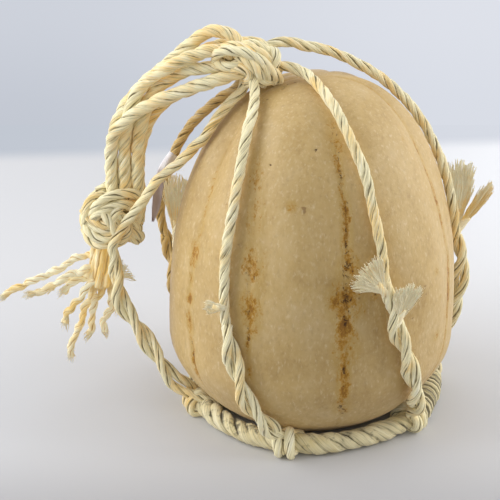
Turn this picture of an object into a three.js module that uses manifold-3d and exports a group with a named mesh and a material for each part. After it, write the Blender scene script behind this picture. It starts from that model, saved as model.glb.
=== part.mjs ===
// A whole cheese in its rope sling: a ribbed, egg-shaped ball that stands on the flat spot under it,
// with a rope ring round its foot, six rope legs up to a knot on its crown, and the six rope ends
// carried on as a stiff hanging tail with a stopper knot and loose strand ends.
//
// Millimetres and degrees, +Z up. The origin is the centre of the flat spot that the cheese stands on.
// Azimuth 0 points to the front (-Y) and grows towards +X.

import * as THREE from 'three';
import { mergeVertices } from 'three/addons/utils/BufferGeometryUtils.js';
import Module from 'manifold-3d';

const wasm = await Module();
wasm.setup();

// ---------------------------------------------------------------- driving dimensions

const CHEESE = {
  radius: 96,
  bellyHeight: 55,
  crownRise: 175,
  crownPower: 2.4,
  footDrop: 67.5,
  footPower: 1.8,
  lean: 0.9,
};
const CHEESE_SIDES = 44;
const CHEESE_CROWN_RINGS = 18;
const CHEESE_FOOT_RINGS = 7;

// One groove down each side between two ribs: its azimuth at the belly, and how far it turns
// towards the crown and towards the foot.
const GROOVES = [
  { azimuth: -60, crownTurn: -30, footTurn: 20 },
  { azimuth: -27, crownTurn: -45, footTurn: 10 },
  { azimuth: 11, crownTurn: 0, footTurn: 0 },
  { azimuth: 69, crownTurn: 26, footTurn: -25 },
  { azimuth: 114, crownTurn: 15, footTurn: 0 },
  { azimuth: 158, crownTurn: 0, footTurn: 0 },
  { azimuth: -152, crownTurn: 0, footTurn: 0 },
  { azimuth: -105, crownTurn: -15, footTurn: 0 },
];
const GROOVE_DEPTH = 3.2;
const GROOVE_HALF_WIDTH = 9;
const GROOVE_TURN_HEIGHT = 100;

const ROPE_RADIUS = 4;
const SPLICE_RADIUS = 6.2;
const RING_RADIUS = 7;
const TAIL_RADIUS = 2.75;
const CLEARANCE = 0.3;
const CHORD_ALLOWANCE = 0.5;
const PAPER = 0.6;
const WELD = 1e-4;

const ROPE_SIDES = 8;
const RING_SIDES = 10;
const STEP_DIAMETERS = 2.2;

const TOP_KNOT = { centre: [-40, 0, 238.5], semiAxes: [20, 14, 13.5] };
const END_KNOT = { centre: [-132, 12, 126.5], semiAxes: [20, 15.5, 20.5] };
const KNOT_SIDES = 16;
const KNOT_RINGS = 10;
const FRAY_SIDES = 10;

// ---------------------------------------------------------------- routes, chosen by hand

const RING_ROUTE = [
  [-76, 2, 7.2], [-73, -22, 7.2], [-62, -44, 7.2], [-49, -59, 7.2], [-37, -68, 7.2], [-24, -74.5, 7.2],
  [-9, -78, 7.2], [5, -79, 7.2], [18, -76, 7.2], [33, -70, 7.2], [48, -62, 7.2], [61, -52, 7.2],
  [70, -39, 7.2], [77, -22, 7.2], [82, -5, 7.2], [84, 12, 7.2], [81, 29, 7.2], [74, 46, 7.2],
  [62, 61, 7.2], [45, 72, 7.2], [25, 79, 7.2], [4, 82, 7.2], [-18, 80, 7.2], [-38, 73, 7.2],
  [-55, 61, 7.2], [-68, 44, 7.2], [-75, 24, 7.2], [-76.4, 4, 7.2],
];

// Each leg runs from inside the crown knot to the middle of the ring's rope. From spliceFrom
// onwards (a fraction of its length) its end comes back up wound round it, so it is thicker there.
const LEGS = [
  {
    name: 'front_left',
    spliceFrom: 0.6,
    route: [
      [-38, -8, 236], [-37, -18, 224], [-38, -31, 218], [-42, -44, 207], [-45, -54, 194], [-49, -64, 174],
      [-52, -70, 157], [-55, -74, 140], [-56, -77, 122], [-56, -80, 106], [-53, -84, 87], [-48, -88, 66],
      [-43, -90, 50], [-35, -88, 34], [-24, -84, 18], [-15, -77, 7],
    ],
  },
  {
    name: 'front_right',
    spliceFrom: 0.565,
    route: [
      [-28, -2, 238], [-16, -3, 237.5], [-7, -6, 235], [-1, -15, 233], [4, -27, 230], [12, -43, 223],
      [18, -54, 214], [24, -63, 203], [30, -70, 190], [35, -78, 167], [40, -83, 147], [43, -86, 126],
      [47, -87, 110], [51, -87, 93], [58, -84, 74], [63, -80, 54], [67, -70, 34], [69, -54, 16], [66, -45, 7],
    ],
  },
  {
    name: 'back_right',
    spliceFrom: 0.625,
    route: [
      [-34, 3, 246], [-24, 8, 250], [-15, 11, 249.5], [-4, 14, 246], [11, 18, 241.5], [27, 20, 234],
      [43, 22, 224], [54, 22, 215], [62, 22, 206], [71, 20, 195], [79, 18, 183], [84, 16, 172],
      [89, 14, 158], [94, 12, 141], [98, 10, 119], [102, 10, 103], [103, 12, 89], [103, 16, 75],
      [101, 21, 58], [97, 26, 40], [90, 30, 22], [82, 26, 7],
    ],
  },
  {
    name: 'back',
    spliceFrom: 0.62,
    route: [
      [-36, 9, 236], [-42, 22, 223], [-50, 32, 211], [-57, 42, 195], [-59, 53, 179], [-58, 63, 160],
      [-54, 72, 140], [-49, 79, 118], [-43, 84, 96], [-37, 88, 74], [-31, 90, 52], [-25, 90, 32],
      [-20, 86, 16], [-17, 80, 7],
    ],
  },
  {
    name: 'back_left',
    spliceFrom: 0.595,
    route: [
      [-43, 6, 232], [-49, 13, 218], [-57, 18, 211.5], [-66, 24, 202], [-73, 30, 194], [-81, 36, 183],
      [-87, 40, 172], [-91, 43, 163], [-95, 46, 152], [-99, 48, 136], [-102, 50, 122], [-102, 50, 110],
      [-99, 50, 99], [-96, 50, 87], [-94, 50, 70], [-91, 50, 50], [-85, 49, 30], [-76, 44, 15], [-69, 42, 7],
    ],
  },
  {
    name: 'left',
    spliceFrom: 0.535,
    route: [
      [-43, -2, 230], [-46, -3, 219.5], [-54, -5, 209], [-62, -9, 199.5], [-75, -11, 187], [-87, -13, 175],
      [-99, -14, 165.5], [-110, -14, 149.5], [-118, -14, 139], [-125, -14, 129], [-130, -14, 119],
      [-129, -14, 111], [-128.5, -14, 95], [-126, -15, 79], [-119, -16.5, 66.5], [-113, -18, 58],
      [-107, -21, 48], [-95, -25, 30.5], [-85, -28, 19], [-72, -25, 7],
    ],
  },
];

// The six rope ends of the legs, from inside the crown knot to inside the stopper knot.
const HANDLE_ROUTES = [
  [
    [-44, 2, 243], [-48, 3, 252], [-53, 4, 256.5], [-59, 5, 258.5], [-67, 7, 257], [-74, 9, 252],
    [-81, 10.5, 246], [-88, 11.3, 239.5], [-96, 12, 232.5], [-104, 12.5, 225], [-113, 14, 216],
    [-121.5, 14.5, 205], [-127, 14.6, 194], [-130, 14.7, 182], [-131, 15, 170], [-131, 15, 157],
    [-131, 15, 140],
  ],
  [
    [-46, -3, 242], [-54, -3.5, 247], [-62, -4, 248.5], [-70, -4.5, 247], [-77, -4, 244.5], [-84, -4, 241.5],
    [-91, -3, 237.5], [-98, -1, 233], [-105, 2, 227], [-111, 3.5, 220], [-115.5, 4.5, 212],
    [-118, 6, 203], [-120, 7, 193], [-121.7, 6.5, 182], [-122.3, 6, 170], [-122.3, 6, 157],
    [-122.5, 6, 140],
  ],
  [
    [-47, -2, 239], [-59, -3, 237.5], [-68, -2, 236.5], [-77, 0, 235], [-85, 2, 231.5], [-92, 4, 226.5],
    [-98, 5, 222], [-103, 6, 214.5], [-107, 6.5, 206], [-110.5, 6.5, 195], [-113, 6.5, 183],
    [-113.7, 6, 170], [-114, 6, 157], [-113.5, 5.5, 147], [-112.8, 5, 138], [-114.5, 5, 128],
  ],
  [
    [-43, -6, 236], [-56, -8, 232], [-67, -8, 228.5], [-78, -7, 224.5], [-88, -6, 220], [-96, -5, 217],
    [-103, -4, 213], [-110, -3, 209], [-116, -2.5, 204.5], [-122, -1.5, 199], [-127.5, 0.5, 192],
    [-130, 4, 182], [-131, 6, 170], [-131, 6, 157], [-131, 6, 140],
  ],
  [
    [-44, 4, 235], [-57, 4, 229.5], [-67, 3.5, 225], [-77, 4.5, 221], [-86, 7, 216.5], [-93, 9.5, 212],
    [-99, 12, 205.5], [-105, 14.5, 197], [-109.5, 15, 186], [-112.5, 15, 177], [-113.7, 14.7, 168],
    [-114, 14.7, 157], [-113.7, 15.5, 147], [-114.5, 16.5, 138], [-118, 17.5, 128],
  ],
  [
    [-44, 7, 242], [-53, 9.5, 247.5], [-62, 11.5, 246.5], [-72, 13, 241.5], [-81, 14, 235.5],
    [-89, 15, 228.5], [-97, 15.5, 220.5], [-105, 16, 211.5], [-111.5, 16, 202], [-117, 15.8, 192.5],
    [-120.5, 15, 182], [-122.3, 14.8, 170], [-122.3, 14.8, 157], [-122.5, 14.8, 140],
  ],
];

// The loose strand ends, from inside the bunch under the stopper knot to their tips.
const TAIL_ROUTES = [
  [
    [-140, 6, 99], [-149, 5, 104], [-160, 3, 99.5], [-174, 0, 92.5], [-184, -3, 88.5], [-193.5, -5, 86],
    [-201, -6.5, 81.5], [-207.5, -8, 77],
  ],
  [[-141, 3, 96], [-150, 1, 95.5], [-160, -2, 92], [-172, -5, 86], [-182, -7, 82], [-190, -9, 79]],
  [[-141, 9, 94], [-150, 9, 91], [-159, 8.5, 87], [-169, 8, 82], [-178, 7, 77]],
  [[-142, 4, 91], [-151, 4, 88.5], [-160, 2, 83.5], [-168, 0, 76]],
  [[-144, -1, 88], [-151, -4, 81], [-157, -6, 74], [-162, -7, 68], [-163.5, -7, 62], [-165, -7, 56]],
  [
    [-143, 8, 88], [-147, 8, 77], [-151, 7.5, 66], [-155, 6.5, 55], [-160, 6, 43], [-163, 6, 33],
    [-165, 6, 24],
  ],
  [[-139, 2, 88], [-142, 1, 77], [-145, 0, 68], [-148, -1, 60], [-148, -1, 52], [-151, -1, 44]],
  [[-136, 5, 88], [-134.5, 7, 77], [-134, 8, 67], [-138, 8.5, 58], [-141, 9, 50], [-138, 9, 42]],
  [[-136, 11, 88], [-130.5, 13, 78], [-129.5, 14, 67], [-130, 14, 56]],
];

// Fans of unlaid fibre where the legs' ends come out of the winding.
const FRAYS = [
  { name: 'front_left', base: [-60.5, -84, 108], tip: [-68, -83, 108], spread: 4.5, thickness: 2.5 },
  { name: 'front_right_inner', base: [40, -96, 123], tip: [28, -101, 139], spread: 11, thickness: 3 },
  { name: 'front_right_outer', base: [53, -95, 104], tip: [58, -97, 125], spread: 9, thickness: 3 },
  { name: 'back_right_inner', base: [101, 22, 126], tip: [101, 26, 161], spread: 9, thickness: 4 },
  { name: 'back_right_outer', base: [104, 12, 121], tip: [120.5, 15, 149], spread: 4, thickness: 3 },
  { name: 'back', base: [-55, 85, 128], tip: [-61, 94, 142], spread: 7, thickness: 3 },
  { name: 'back_left', base: [-91.5, 39, 100], tip: [-91, 36, 138], spread: 8, thickness: 3.5 },
  { name: 'left', base: [-121, -10, 92], tip: [-114.5, -8, 97], spread: 4, thickness: 3 },
];

const SKIRT = { base: [-139, 7, 112], tip: [-141, 5, 84], baseRadius: 7.5, tipRadius: 9.5, flatness: 0.8 };

// Outline of the folded paper tag, in its own plane: a band over the rope and a tapering tail.
const TAG_OUTLINE = [
  [-5, 9], [4, 10], [5, 0], [2, -9], [-3, -22], [-10, -40], [-13, -34], [-9, -16], [-7, -4],
];
const TAG_PLACE = [-98, 38.5, 151];

// ---------------------------------------------------------------- materials

const finish = (color, roughness) => new THREE.MeshStandardMaterial({ color, roughness, metalness: 0 });
const cheeseRind = () => finish(0xcdb482, 0.55);
const legRope = () => finish(0xded4aa, 0.9);
const ringRope = () => finish(0xd8d0b4, 0.92);
const looseFibre = () => finish(0xe6d9a6, 0.95);
const tagPaper = () => finish(0xe9e7ea, 0.8);

// ---------------------------------------------------------------- the cheese's shape

const radians = THREE.MathUtils.degToRad;
const leanShift = (z) => Math.tan(radians(CHEESE.lean)) * z;

// How far a point is outside the smooth cheese, in millimetres. The cheese is a superellipsoid
// above its belly and another below it: level = (rho^n + height^n)^(1/n) - 1.
function cheeseLevel(p) {
  const rho = Math.hypot(p.x - leanShift(p.z), p.y) / CHEESE.radius;
  const rise = p.z - CHEESE.bellyHeight;
  const [reach, power] = rise >= 0
    ? [CHEESE.crownRise, CHEESE.crownPower]
    : [CHEESE.footDrop, CHEESE.footPower];
  return (rho ** power + (Math.abs(rise) / reach) ** power) ** (1 / power) - 1;
}

function cheeseSlope(p) {
  const probe = 0.05;
  const along = (axis) => {
    const step = new THREE.Vector3().setComponent(axis, probe);
    return (cheeseLevel(p.clone().add(step)) - cheeseLevel(p.clone().sub(step))) / (2 * probe);
  };
  return new THREE.Vector3(along(0), along(1), along(2));
}

// Moves a point straight out from the cheese until it stands at least the given distance off it.
function clearOfCheese(point, distance) {
  const moved = point.clone();
  const passes = 4;
  for (let pass = 0; pass < passes; pass += 1) {
    const slope = cheeseSlope(moved);
    const steepness = slope.length();
    const gap = cheeseLevel(moved) / steepness;
    if (gap < distance) moved.addScaledVector(slope, (distance - gap) / steepness);
  }
  return moved;
}

// Depth of the grooves at an azimuth and height, 0 between them and GROOVE_DEPTH in them.
function grooveDepth(azimuth, z) {
  const top = CHEESE.bellyHeight + CHEESE.crownRise;
  const up = Math.max(0, (z - GROOVE_TURN_HEIGHT) / (top - GROOVE_TURN_HEIGHT));
  const down = Math.max(0, (GROOVE_TURN_HEIGHT - z) / GROOVE_TURN_HEIGHT);
  let depth = 0;
  for (const groove of GROOVES) {
    const centre = groove.azimuth + groove.crownTurn * up ** 4 + groove.footTurn * down ** 2;
    const away = THREE.MathUtils.euclideanModulo(azimuth - centre + 180, 360) - 180;
    depth += GROOVE_DEPTH * Math.exp(-((away / GROOVE_HALF_WIDTH) ** 2));
  }
  return depth;
}

function cheeseProfile() {
  const points = [];
  for (let i = 0; i <= CHEESE_CROWN_RINGS; i += 1) {
    const t = (i / CHEESE_CROWN_RINGS) * (Math.PI / 2);
    const radius = CHEESE.radius * Math.sin(t) ** (2 / CHEESE.crownPower);
    const height = CHEESE.bellyHeight + CHEESE.crownRise * Math.cos(t) ** (2 / CHEESE.crownPower);
    points.push(new THREE.Vector2(radius, height));
  }
  const drop = CHEESE.bellyHeight / CHEESE.footDrop;
  const last = Math.asin(drop ** (CHEESE.footPower / 2));
  for (let i = 1; i <= CHEESE_FOOT_RINGS; i += 1) {
    const t = (i / CHEESE_FOOT_RINGS) * last;
    const radius = CHEESE.radius * Math.cos(t) ** (2 / CHEESE.footPower);
    const height = CHEESE.bellyHeight - CHEESE.footDrop * Math.sin(t) ** (2 / CHEESE.footPower);
    points.push(new THREE.Vector2(radius, i < CHEESE_FOOT_RINGS ? height : 0));
  }
  points.push(new THREE.Vector2(0, 0));
  return points.reverse();
}

function cheeseGeometry() {
  const shape = bare(new THREE.LatheGeometry(cheeseProfile(), CHEESE_SIDES));
  shape.rotateX(Math.PI / 2);
  const position = shape.attributes.position;
  for (let i = 0; i < position.count; i += 1) {
    const [x, y, z] = [position.getX(i), position.getY(i), position.getZ(i)];
    const rho = Math.hypot(x, y);
    const azimuth = THREE.MathUtils.radToDeg(Math.atan2(x, -y));
    const fade = Math.min(1, rho / (CHEESE.radius / 2));
    const kept = rho > 0 ? 1 - (fade * grooveDepth(azimuth, z)) / CHEESE.radius : 1;
    position.setXY(i, x * kept + leanShift(z), y * kept);
  }
  return shape;
}

// ---------------------------------------------------------------- geometry helpers

// The geometry with positions only and its shared corners merged.
function bare(geometry) {
  geometry.deleteAttribute('normal');
  geometry.deleteAttribute('uv');
  return mergeVertices(geometry, WELD);
}

function toSolid(geometry) {
  const shape = bare(geometry.clone());
  return new wasm.Manifold(new wasm.Mesh({
    numProp: 3,
    vertProperties: new Float32Array(shape.attributes.position.array),
    triVerts: new Uint32Array(shape.index.array),
  }));
}

function toGeometry(solid) {
  const mesh = solid.getMesh();
  const geometry = new THREE.BufferGeometry();
  geometry.setAttribute('position', new THREE.BufferAttribute(mesh.vertProperties, 3));
  geometry.setIndex(new THREE.BufferAttribute(mesh.triVerts, 1));
  return geometry;
}

// What is left of a geometry outside the cutters.
function cutBy(geometry, cutters) {
  let solid = toSolid(geometry);
  for (const cutter of cutters) solid = solid.subtract(toSolid(cutter));
  return toGeometry(solid);
}

function circle(radius, sides) {
  const shape = new THREE.Shape();
  for (let i = 0; i < sides; i += 1) {
    const turn = (i / sides) * 2 * Math.PI;
    const [x, y] = [radius * Math.cos(turn), radius * Math.sin(turn)];
    if (i === 0) shape.moveTo(x, y);
    else shape.lineTo(x, y);
  }
  shape.closePath();
  return shape;
}

const vector = ([x, y, z]) => new THREE.Vector3(x, y, z);
const smoothCurve = (points) => new THREE.CatmullRomCurve3(points, false, 'centripetal');

// The stretch of a route between two fractions of its length, kept clear of the cheese.
function stretchOf(route, from, to, radius) {
  const curve = smoothCurve(route.map(vector));
  const span = to - from;
  const pieces = Math.max(3, Math.ceil((curve.getLength() * span) / (STEP_DIAMETERS * 2 * ROPE_RADIUS)));
  const points = [];
  for (let i = 0; i <= pieces; i += 1) {
    const point = curve.getPointAt(from + (span * i) / pieces);
    points.push(clearOfCheese(point, radius + CLEARANCE + CHORD_ALLOWANCE));
  }
  return smoothCurve(points);
}

function tube(curve, radius, sides = ROPE_SIDES, grow = 0) {
  const steps = Math.max(3, Math.ceil(curve.getLength() / (STEP_DIAMETERS * 2 * radius)));
  return new THREE.ExtrudeGeometry(circle(radius + grow, sides), { steps, extrudePath: curve });
}

function knotLump({ centre, semiAxes }, grow = 0) {
  const lump = new THREE.SphereGeometry(1, KNOT_SIDES, KNOT_RINGS);
  lump.scale(semiAxes[0] + grow, semiAxes[1] + grow, semiAxes[2] + grow);
  return lump.translate(...centre);
}

// A cone from base to tip, flattened to face away from the middle of the cheese.
function fan({ base, tip, baseRadius, tipRadius, flatness }, grow = 0) {
  const [start, end] = [vector(base), vector(tip)];
  const run = end.clone().sub(start);
  const height = run.length() + 2 * grow;
  const shape = new THREE.CylinderGeometry(tipRadius + grow, baseRadius + grow, height, FRAY_SIDES);
  shape.scale(1, 1, flatness);
  const along = run.clone().normalize();
  const side = along.clone().cross(new THREE.Vector3(start.x, start.y, 0)).normalize();
  const facing = side.clone().cross(along);
  shape.applyMatrix4(new THREE.Matrix4().makeBasis(side, along, facing));
  const middle = start.add(end).multiplyScalar(0.5);
  return shape.translate(middle.x, middle.y, middle.z);
}

function tagGeometry() {
  const outline = new THREE.Shape(TAG_OUTLINE.map(([x, y]) => new THREE.Vector2(x, y)));
  const sheet = new THREE.ExtrudeGeometry(outline, { depth: PAPER, bevelEnabled: false });
  return sheet.rotateX(Math.PI / 2).translate(...TAG_PLACE);
}

// ---------------------------------------------------------------- the assembly

const sling = new THREE.Group();

function addPart(name, geometry, material) {
  const mesh = new THREE.Mesh(geometry, material);
  mesh.name = name;
  sling.add(mesh);
  return geometry;
}

function addCheese() {
  addPart('cheese', cheeseGeometry(), cheeseRind());
}

function ringGeometry(grow = 0) {
  return tube(smoothCurve(RING_ROUTE.map(vector)), RING_RADIUS, RING_SIDES, grow);
}

function spliceGeometry({ route, spliceFrom }, grow = 0) {
  const from = spliceFrom - (2 * grow) / smoothCurve(route.map(vector)).getLength();
  return tube(stretchOf(route, from, 1, SPLICE_RADIUS), SPLICE_RADIUS, ROPE_SIDES, grow);
}

function addLegs() {
  for (const leg of LEGS) {
    const upper = tube(stretchOf(leg.route, 0, leg.spliceFrom, ROPE_RADIUS), ROPE_RADIUS);
    const cutters = [knotLump(TOP_KNOT, CLEARANCE), spliceGeometry(leg, CLEARANCE)];
    addPart(`leg_${leg.name}`, cutBy(upper, cutters), legRope());
    addPart(`leg_${leg.name}_splice`, cutBy(spliceGeometry(leg), [ringGeometry(CLEARANCE)]), legRope());
  }
}

function addFrays() {
  for (const { name, base, tip, spread, thickness } of FRAYS) {
    const shape = { base, tip, baseRadius: thickness, tipRadius: spread, flatness: thickness / spread };
    const splices = LEGS.map((leg) => spliceGeometry(leg, CLEARANCE));
    addPart(`fray_${name}`, cutBy(fan(shape), splices), looseFibre());
  }
}

function addHandle() {
  const knots = [knotLump(TOP_KNOT, CLEARANCE), knotLump(END_KNOT, CLEARANCE)];
  HANDLE_ROUTES.forEach((route, i) => {
    const run = tube(smoothCurve(route.map(vector)), ROPE_RADIUS);
    addPart(`handle_rope_${i + 1}`, cutBy(run, knots), legRope());
  });
  addPart('top_knot', knotLump(TOP_KNOT), legRope());
  addPart('end_knot', knotLump(END_KNOT), legRope());
}

function addTails() {
  addPart('fibre_skirt', cutBy(fan(SKIRT), [knotLump(END_KNOT, CLEARANCE)]), looseFibre());
  TAIL_ROUTES.forEach((route, i) => {
    const tail = tube(smoothCurve(route.map(vector)), TAIL_RADIUS);
    addPart(`tail_${i + 1}`, cutBy(tail, [fan(SKIRT, CLEARANCE)]), looseFibre());
  });
}

addCheese();
addPart('base_ring', ringGeometry(), ringRope());
addLegs();
addFrays();
addHandle();
addTails();
addPart('paper_tag', tagGeometry(), tagPaper());

export default sling;
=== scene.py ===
"""A whole cheese in its rope sling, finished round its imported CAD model.

The cheese is a superellipsoid with grooves. Every rope is three strands laid round a path, and every
frayed end is a bundle of fibres. Paths and sizes are written in millimetres and turned to metres once.
Azimuth 0 points to the front (-Y) and grows towards +X.
"""

from math import pi, radians, tan

import bpy
import numpy as np
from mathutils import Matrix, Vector


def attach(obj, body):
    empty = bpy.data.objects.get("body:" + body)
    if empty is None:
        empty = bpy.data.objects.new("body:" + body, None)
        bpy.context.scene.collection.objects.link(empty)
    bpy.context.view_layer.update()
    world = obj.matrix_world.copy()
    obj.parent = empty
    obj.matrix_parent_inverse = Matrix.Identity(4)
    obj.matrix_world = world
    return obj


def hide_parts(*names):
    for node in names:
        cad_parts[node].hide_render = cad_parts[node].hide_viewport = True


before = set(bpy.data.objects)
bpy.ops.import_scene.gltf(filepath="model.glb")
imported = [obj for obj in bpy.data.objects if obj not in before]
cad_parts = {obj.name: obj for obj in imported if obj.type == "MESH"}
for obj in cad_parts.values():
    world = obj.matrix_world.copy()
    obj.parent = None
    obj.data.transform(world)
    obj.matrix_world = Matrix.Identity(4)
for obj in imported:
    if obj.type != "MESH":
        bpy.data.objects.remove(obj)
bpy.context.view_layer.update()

bl_info = {
    "name": "Cheese in a rope sling",
    "version": (1, 0, 0),
    "blender": (4, 5, 0),
    "location": "3D View > Sidebar > Cheese",
    "description": "Builds the cheese, its rope sling, the hanging tail and a plain stage",
    "category": "Object",
}

MM = 0.001
BODY = "root"

# ------------------------------------------------------------------ driving shapes, in millimetres

CHEESE_RADIUS = 96.0
BELLY_HEIGHT = 55.0
CROWN_RISE, CROWN_POWER = 175.0, 2.4
FOOT_DROP, FOOT_POWER = 67.5, 1.8
LEAN = tan(radians(0.9))
CROWN_TOP = BELLY_HEIGHT + CROWN_RISE
CROWN_ROWS, FOOT_ROWS, FLAT_ROWS = 165, 56, 9

# Each groove: azimuth at the belly, turn towards the crown and the foot, strength of its thin crease,
# and depth as a share of GROOVE_DEPTH.
GROOVES = np.array([
    [-152, 0, 0, 0.4, 1.0], [-105, -15, 0, 0.5, 1.0], [-60, -30, 20, 0.25, 1.3], [-27, -45, 10, 0.12, 0.5],
    [11, 0, 0, 0.3, 0.65], [69, 26, -25, 0.12, 0.9], [114, 15, 0, 0.5, 1.0], [158, 0, 0, 0.4, 1.0],
], float)
GROOVE_DEPTH = 3.2
GROOVE_HALF_WIDTH = 10.5
CREASE_HALF_WIDTH, CREASE_WAVER = 1.5, 0.55
CREASE_LIP, LIP_PLACE, LIP_HALF_WIDTH = 0.25, 4, 2.5
TURN_HEIGHT = 100.0

# Stains in the grooves: groove, height, half length, half width, orange, brown.
STAINS = [
    (4, 208, 14, 6.0, 0.3, 0.2), (4, 190, 20, 2.2, 0.62, 0.4), (4, 158, 24, 3.6, 0.78, 0.42),
    (4, 136, 8, 6.5, 0.75, 0.5), (4, 115, 14, 11.0, 0.9, 0.45), (4, 98, 10, 5.5, 1.1, 0.35),
    (4, 84, 13, 8.0, 0.82, 0.1), (4, 60, 24, 4.2, 0.9, 0.25), (4, 68, 4, 2.5, 0.6, 0.6),
    (4, 40, 8, 8.0, 0.45, 0.4),
    (3, 131, 18, 9.5, 0.55, 0.26), (3, 104, 17, 7.5, 0.75, 0.25), (3, 85, 10, 2.4, 0.75, 0.4),
    (3, 172, 30, 8.0, 0.38, 0.1), (3, 66, 8, 2.0, 0.45, 0.2),
    (2, 172, 16, 3.5, 0.45, 0.1), (2, 148, 14, 3.5, 0.4, 0.05), (2, 126, 9, 5.0, 0.7, 0.05),
    (2, 109, 5, 3.0, 0.7, 0.1), (2, 97, 5, 4.5, 0.72, 0.1), (2, 79, 8, 4.5, 0.7, 0.15),
    (2, 56, 15, 3.2, 0.85, 0.3),
    (5, 120, 125, 2.3, 0.66, 0.1), (5, 95, 35, 3.4, 0.8, 0.15), (5, 175, 25, 2.8, 0.72, 0.1),
    (6, 140, 30, 5.0, 0.6, 0.3), (6, 80, 25, 4.0, 0.7, 0.4), (7, 150, 30, 5.0, 0.5, 0.3),
    (7, 70, 25, 5.0, 0.75, 0.3), (0, 120, 40, 4.0, 0.6, 0.4), (0, 60, 20, 5.0, 0.6, 0.4),
    (1, 160, 30, 4.5, 0.6, 0.3), (1, 90, 35, 5.0, 0.7, 0.4),
]

# Single marks on the rind: azimuth, height, radius, orange, brown.
MARKS = [
    (56.9, 200, 1.4, 0.7, 0.5), (49.7, 189, 1.3, 0.2, 0.8), (-3.5, 202, 1.2, 0.2, 0.7),
    (-27.8, 192, 1.3, 0.3, 0.7), (-13.1, 172, 3.2, 0.7, 0.0), (56.2, 118, 2.6, 0.8, 0.1),
    (56.1, 73, 3.0, 0.9, 0.3), (58, 99, 1.6, 0.5, 0.2), (-62.2, 227, 3.0, 0.4, 0.5),
    (22, 116, 2.2, 0.9, 0.7), (17, 119, 1.6, 0.6, 1.0), (140, 150, 2.0, 0.6, 0.4),
    (-130, 110, 2.4, 0.7, 0.3), (95, 60, 2.0, 0.6, 0.3), (-85, 175, 2.0, 0.5, 0.5),
    (175, 190, 1.8, 0.3, 0.7), (-170, 80, 2.5, 0.8, 0.2), (35, 160, 0.9, 0.1, 0.6),
    (-40, 92, 1.2, 0.4, 0.4), (-5, 60, 1.0, 0.2, 0.5), (28, 48, 1.2, 0.3, 0.4),
]

STRANDS = 3
ROPE_RADIUS, RING_RADIUS, TAIL_RADIUS = 4.0, 7.0, 2.5
ROPE_LAY, RING_LAY, TAIL_LAY = 36.0, 34.0, 24.0
RING_HEIGHT = 7.2
STANDOFF = 0.25
TABLE_CLEARANCE = 0.1
PATH_STEP, ROUGH_STEP = 1.3, 4.0

# A leg's radius as a share of the sling rope's, and the radius of each half where it lies double.
LEG_SHARE, PLY_RADIUS = 0.9, 3.3

# Where a leg lies double: the share of its length over which it opens, how far each half stands off the
# middle, the length of one turn of the pair and the angle it ends at, and the height where the loop
# through the ring takes over.
SPLICE_OPENS, SPLICE_THROW, SPLICE_PITCH, SPLICE_ANGLE, LOOP_TOP = 0.08, 3.3, 62, 0.9, 21

# The loop round the ring: first and last angle in degrees, points, its reach outwards and upwards, how
# far it goes sideways each way, and its least height.
LOOP_TURN, LOOP_POINTS, LOOP_OUT, LOOP_UP, LOOP_SIDE, LOOP_LEAST = (60, -560), 19, 9.4, 9.0, 6.5, 3.4

# The fine whipping: its part of the ring, the yarn's radius and the length of one turn.
WHIPPED, WHIPPING_YARN, WHIPPING_PITCH = (0.40, 0.52), 2.1, 4.6

RING_ROUTE = [[x, y, RING_HEIGHT] for x, y in (
    (-76, 2), (-73, -22), (-62, -44), (-49, -59), (-37, -68), (-24, -74.5), (-9, -78), (5, -79),
    (18, -76), (33, -70), (48, -62), (61, -52), (70, -39), (77, -22), (82, -5), (84, 12), (81, 29),
    (74, 46), (62, 61), (45, 72), (25, 79), (4, 82), (-18, 80), (-38, 73), (-55, 61), (-68, 44),
    (-75, 24), (-76.4, 4),
)]

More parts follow.
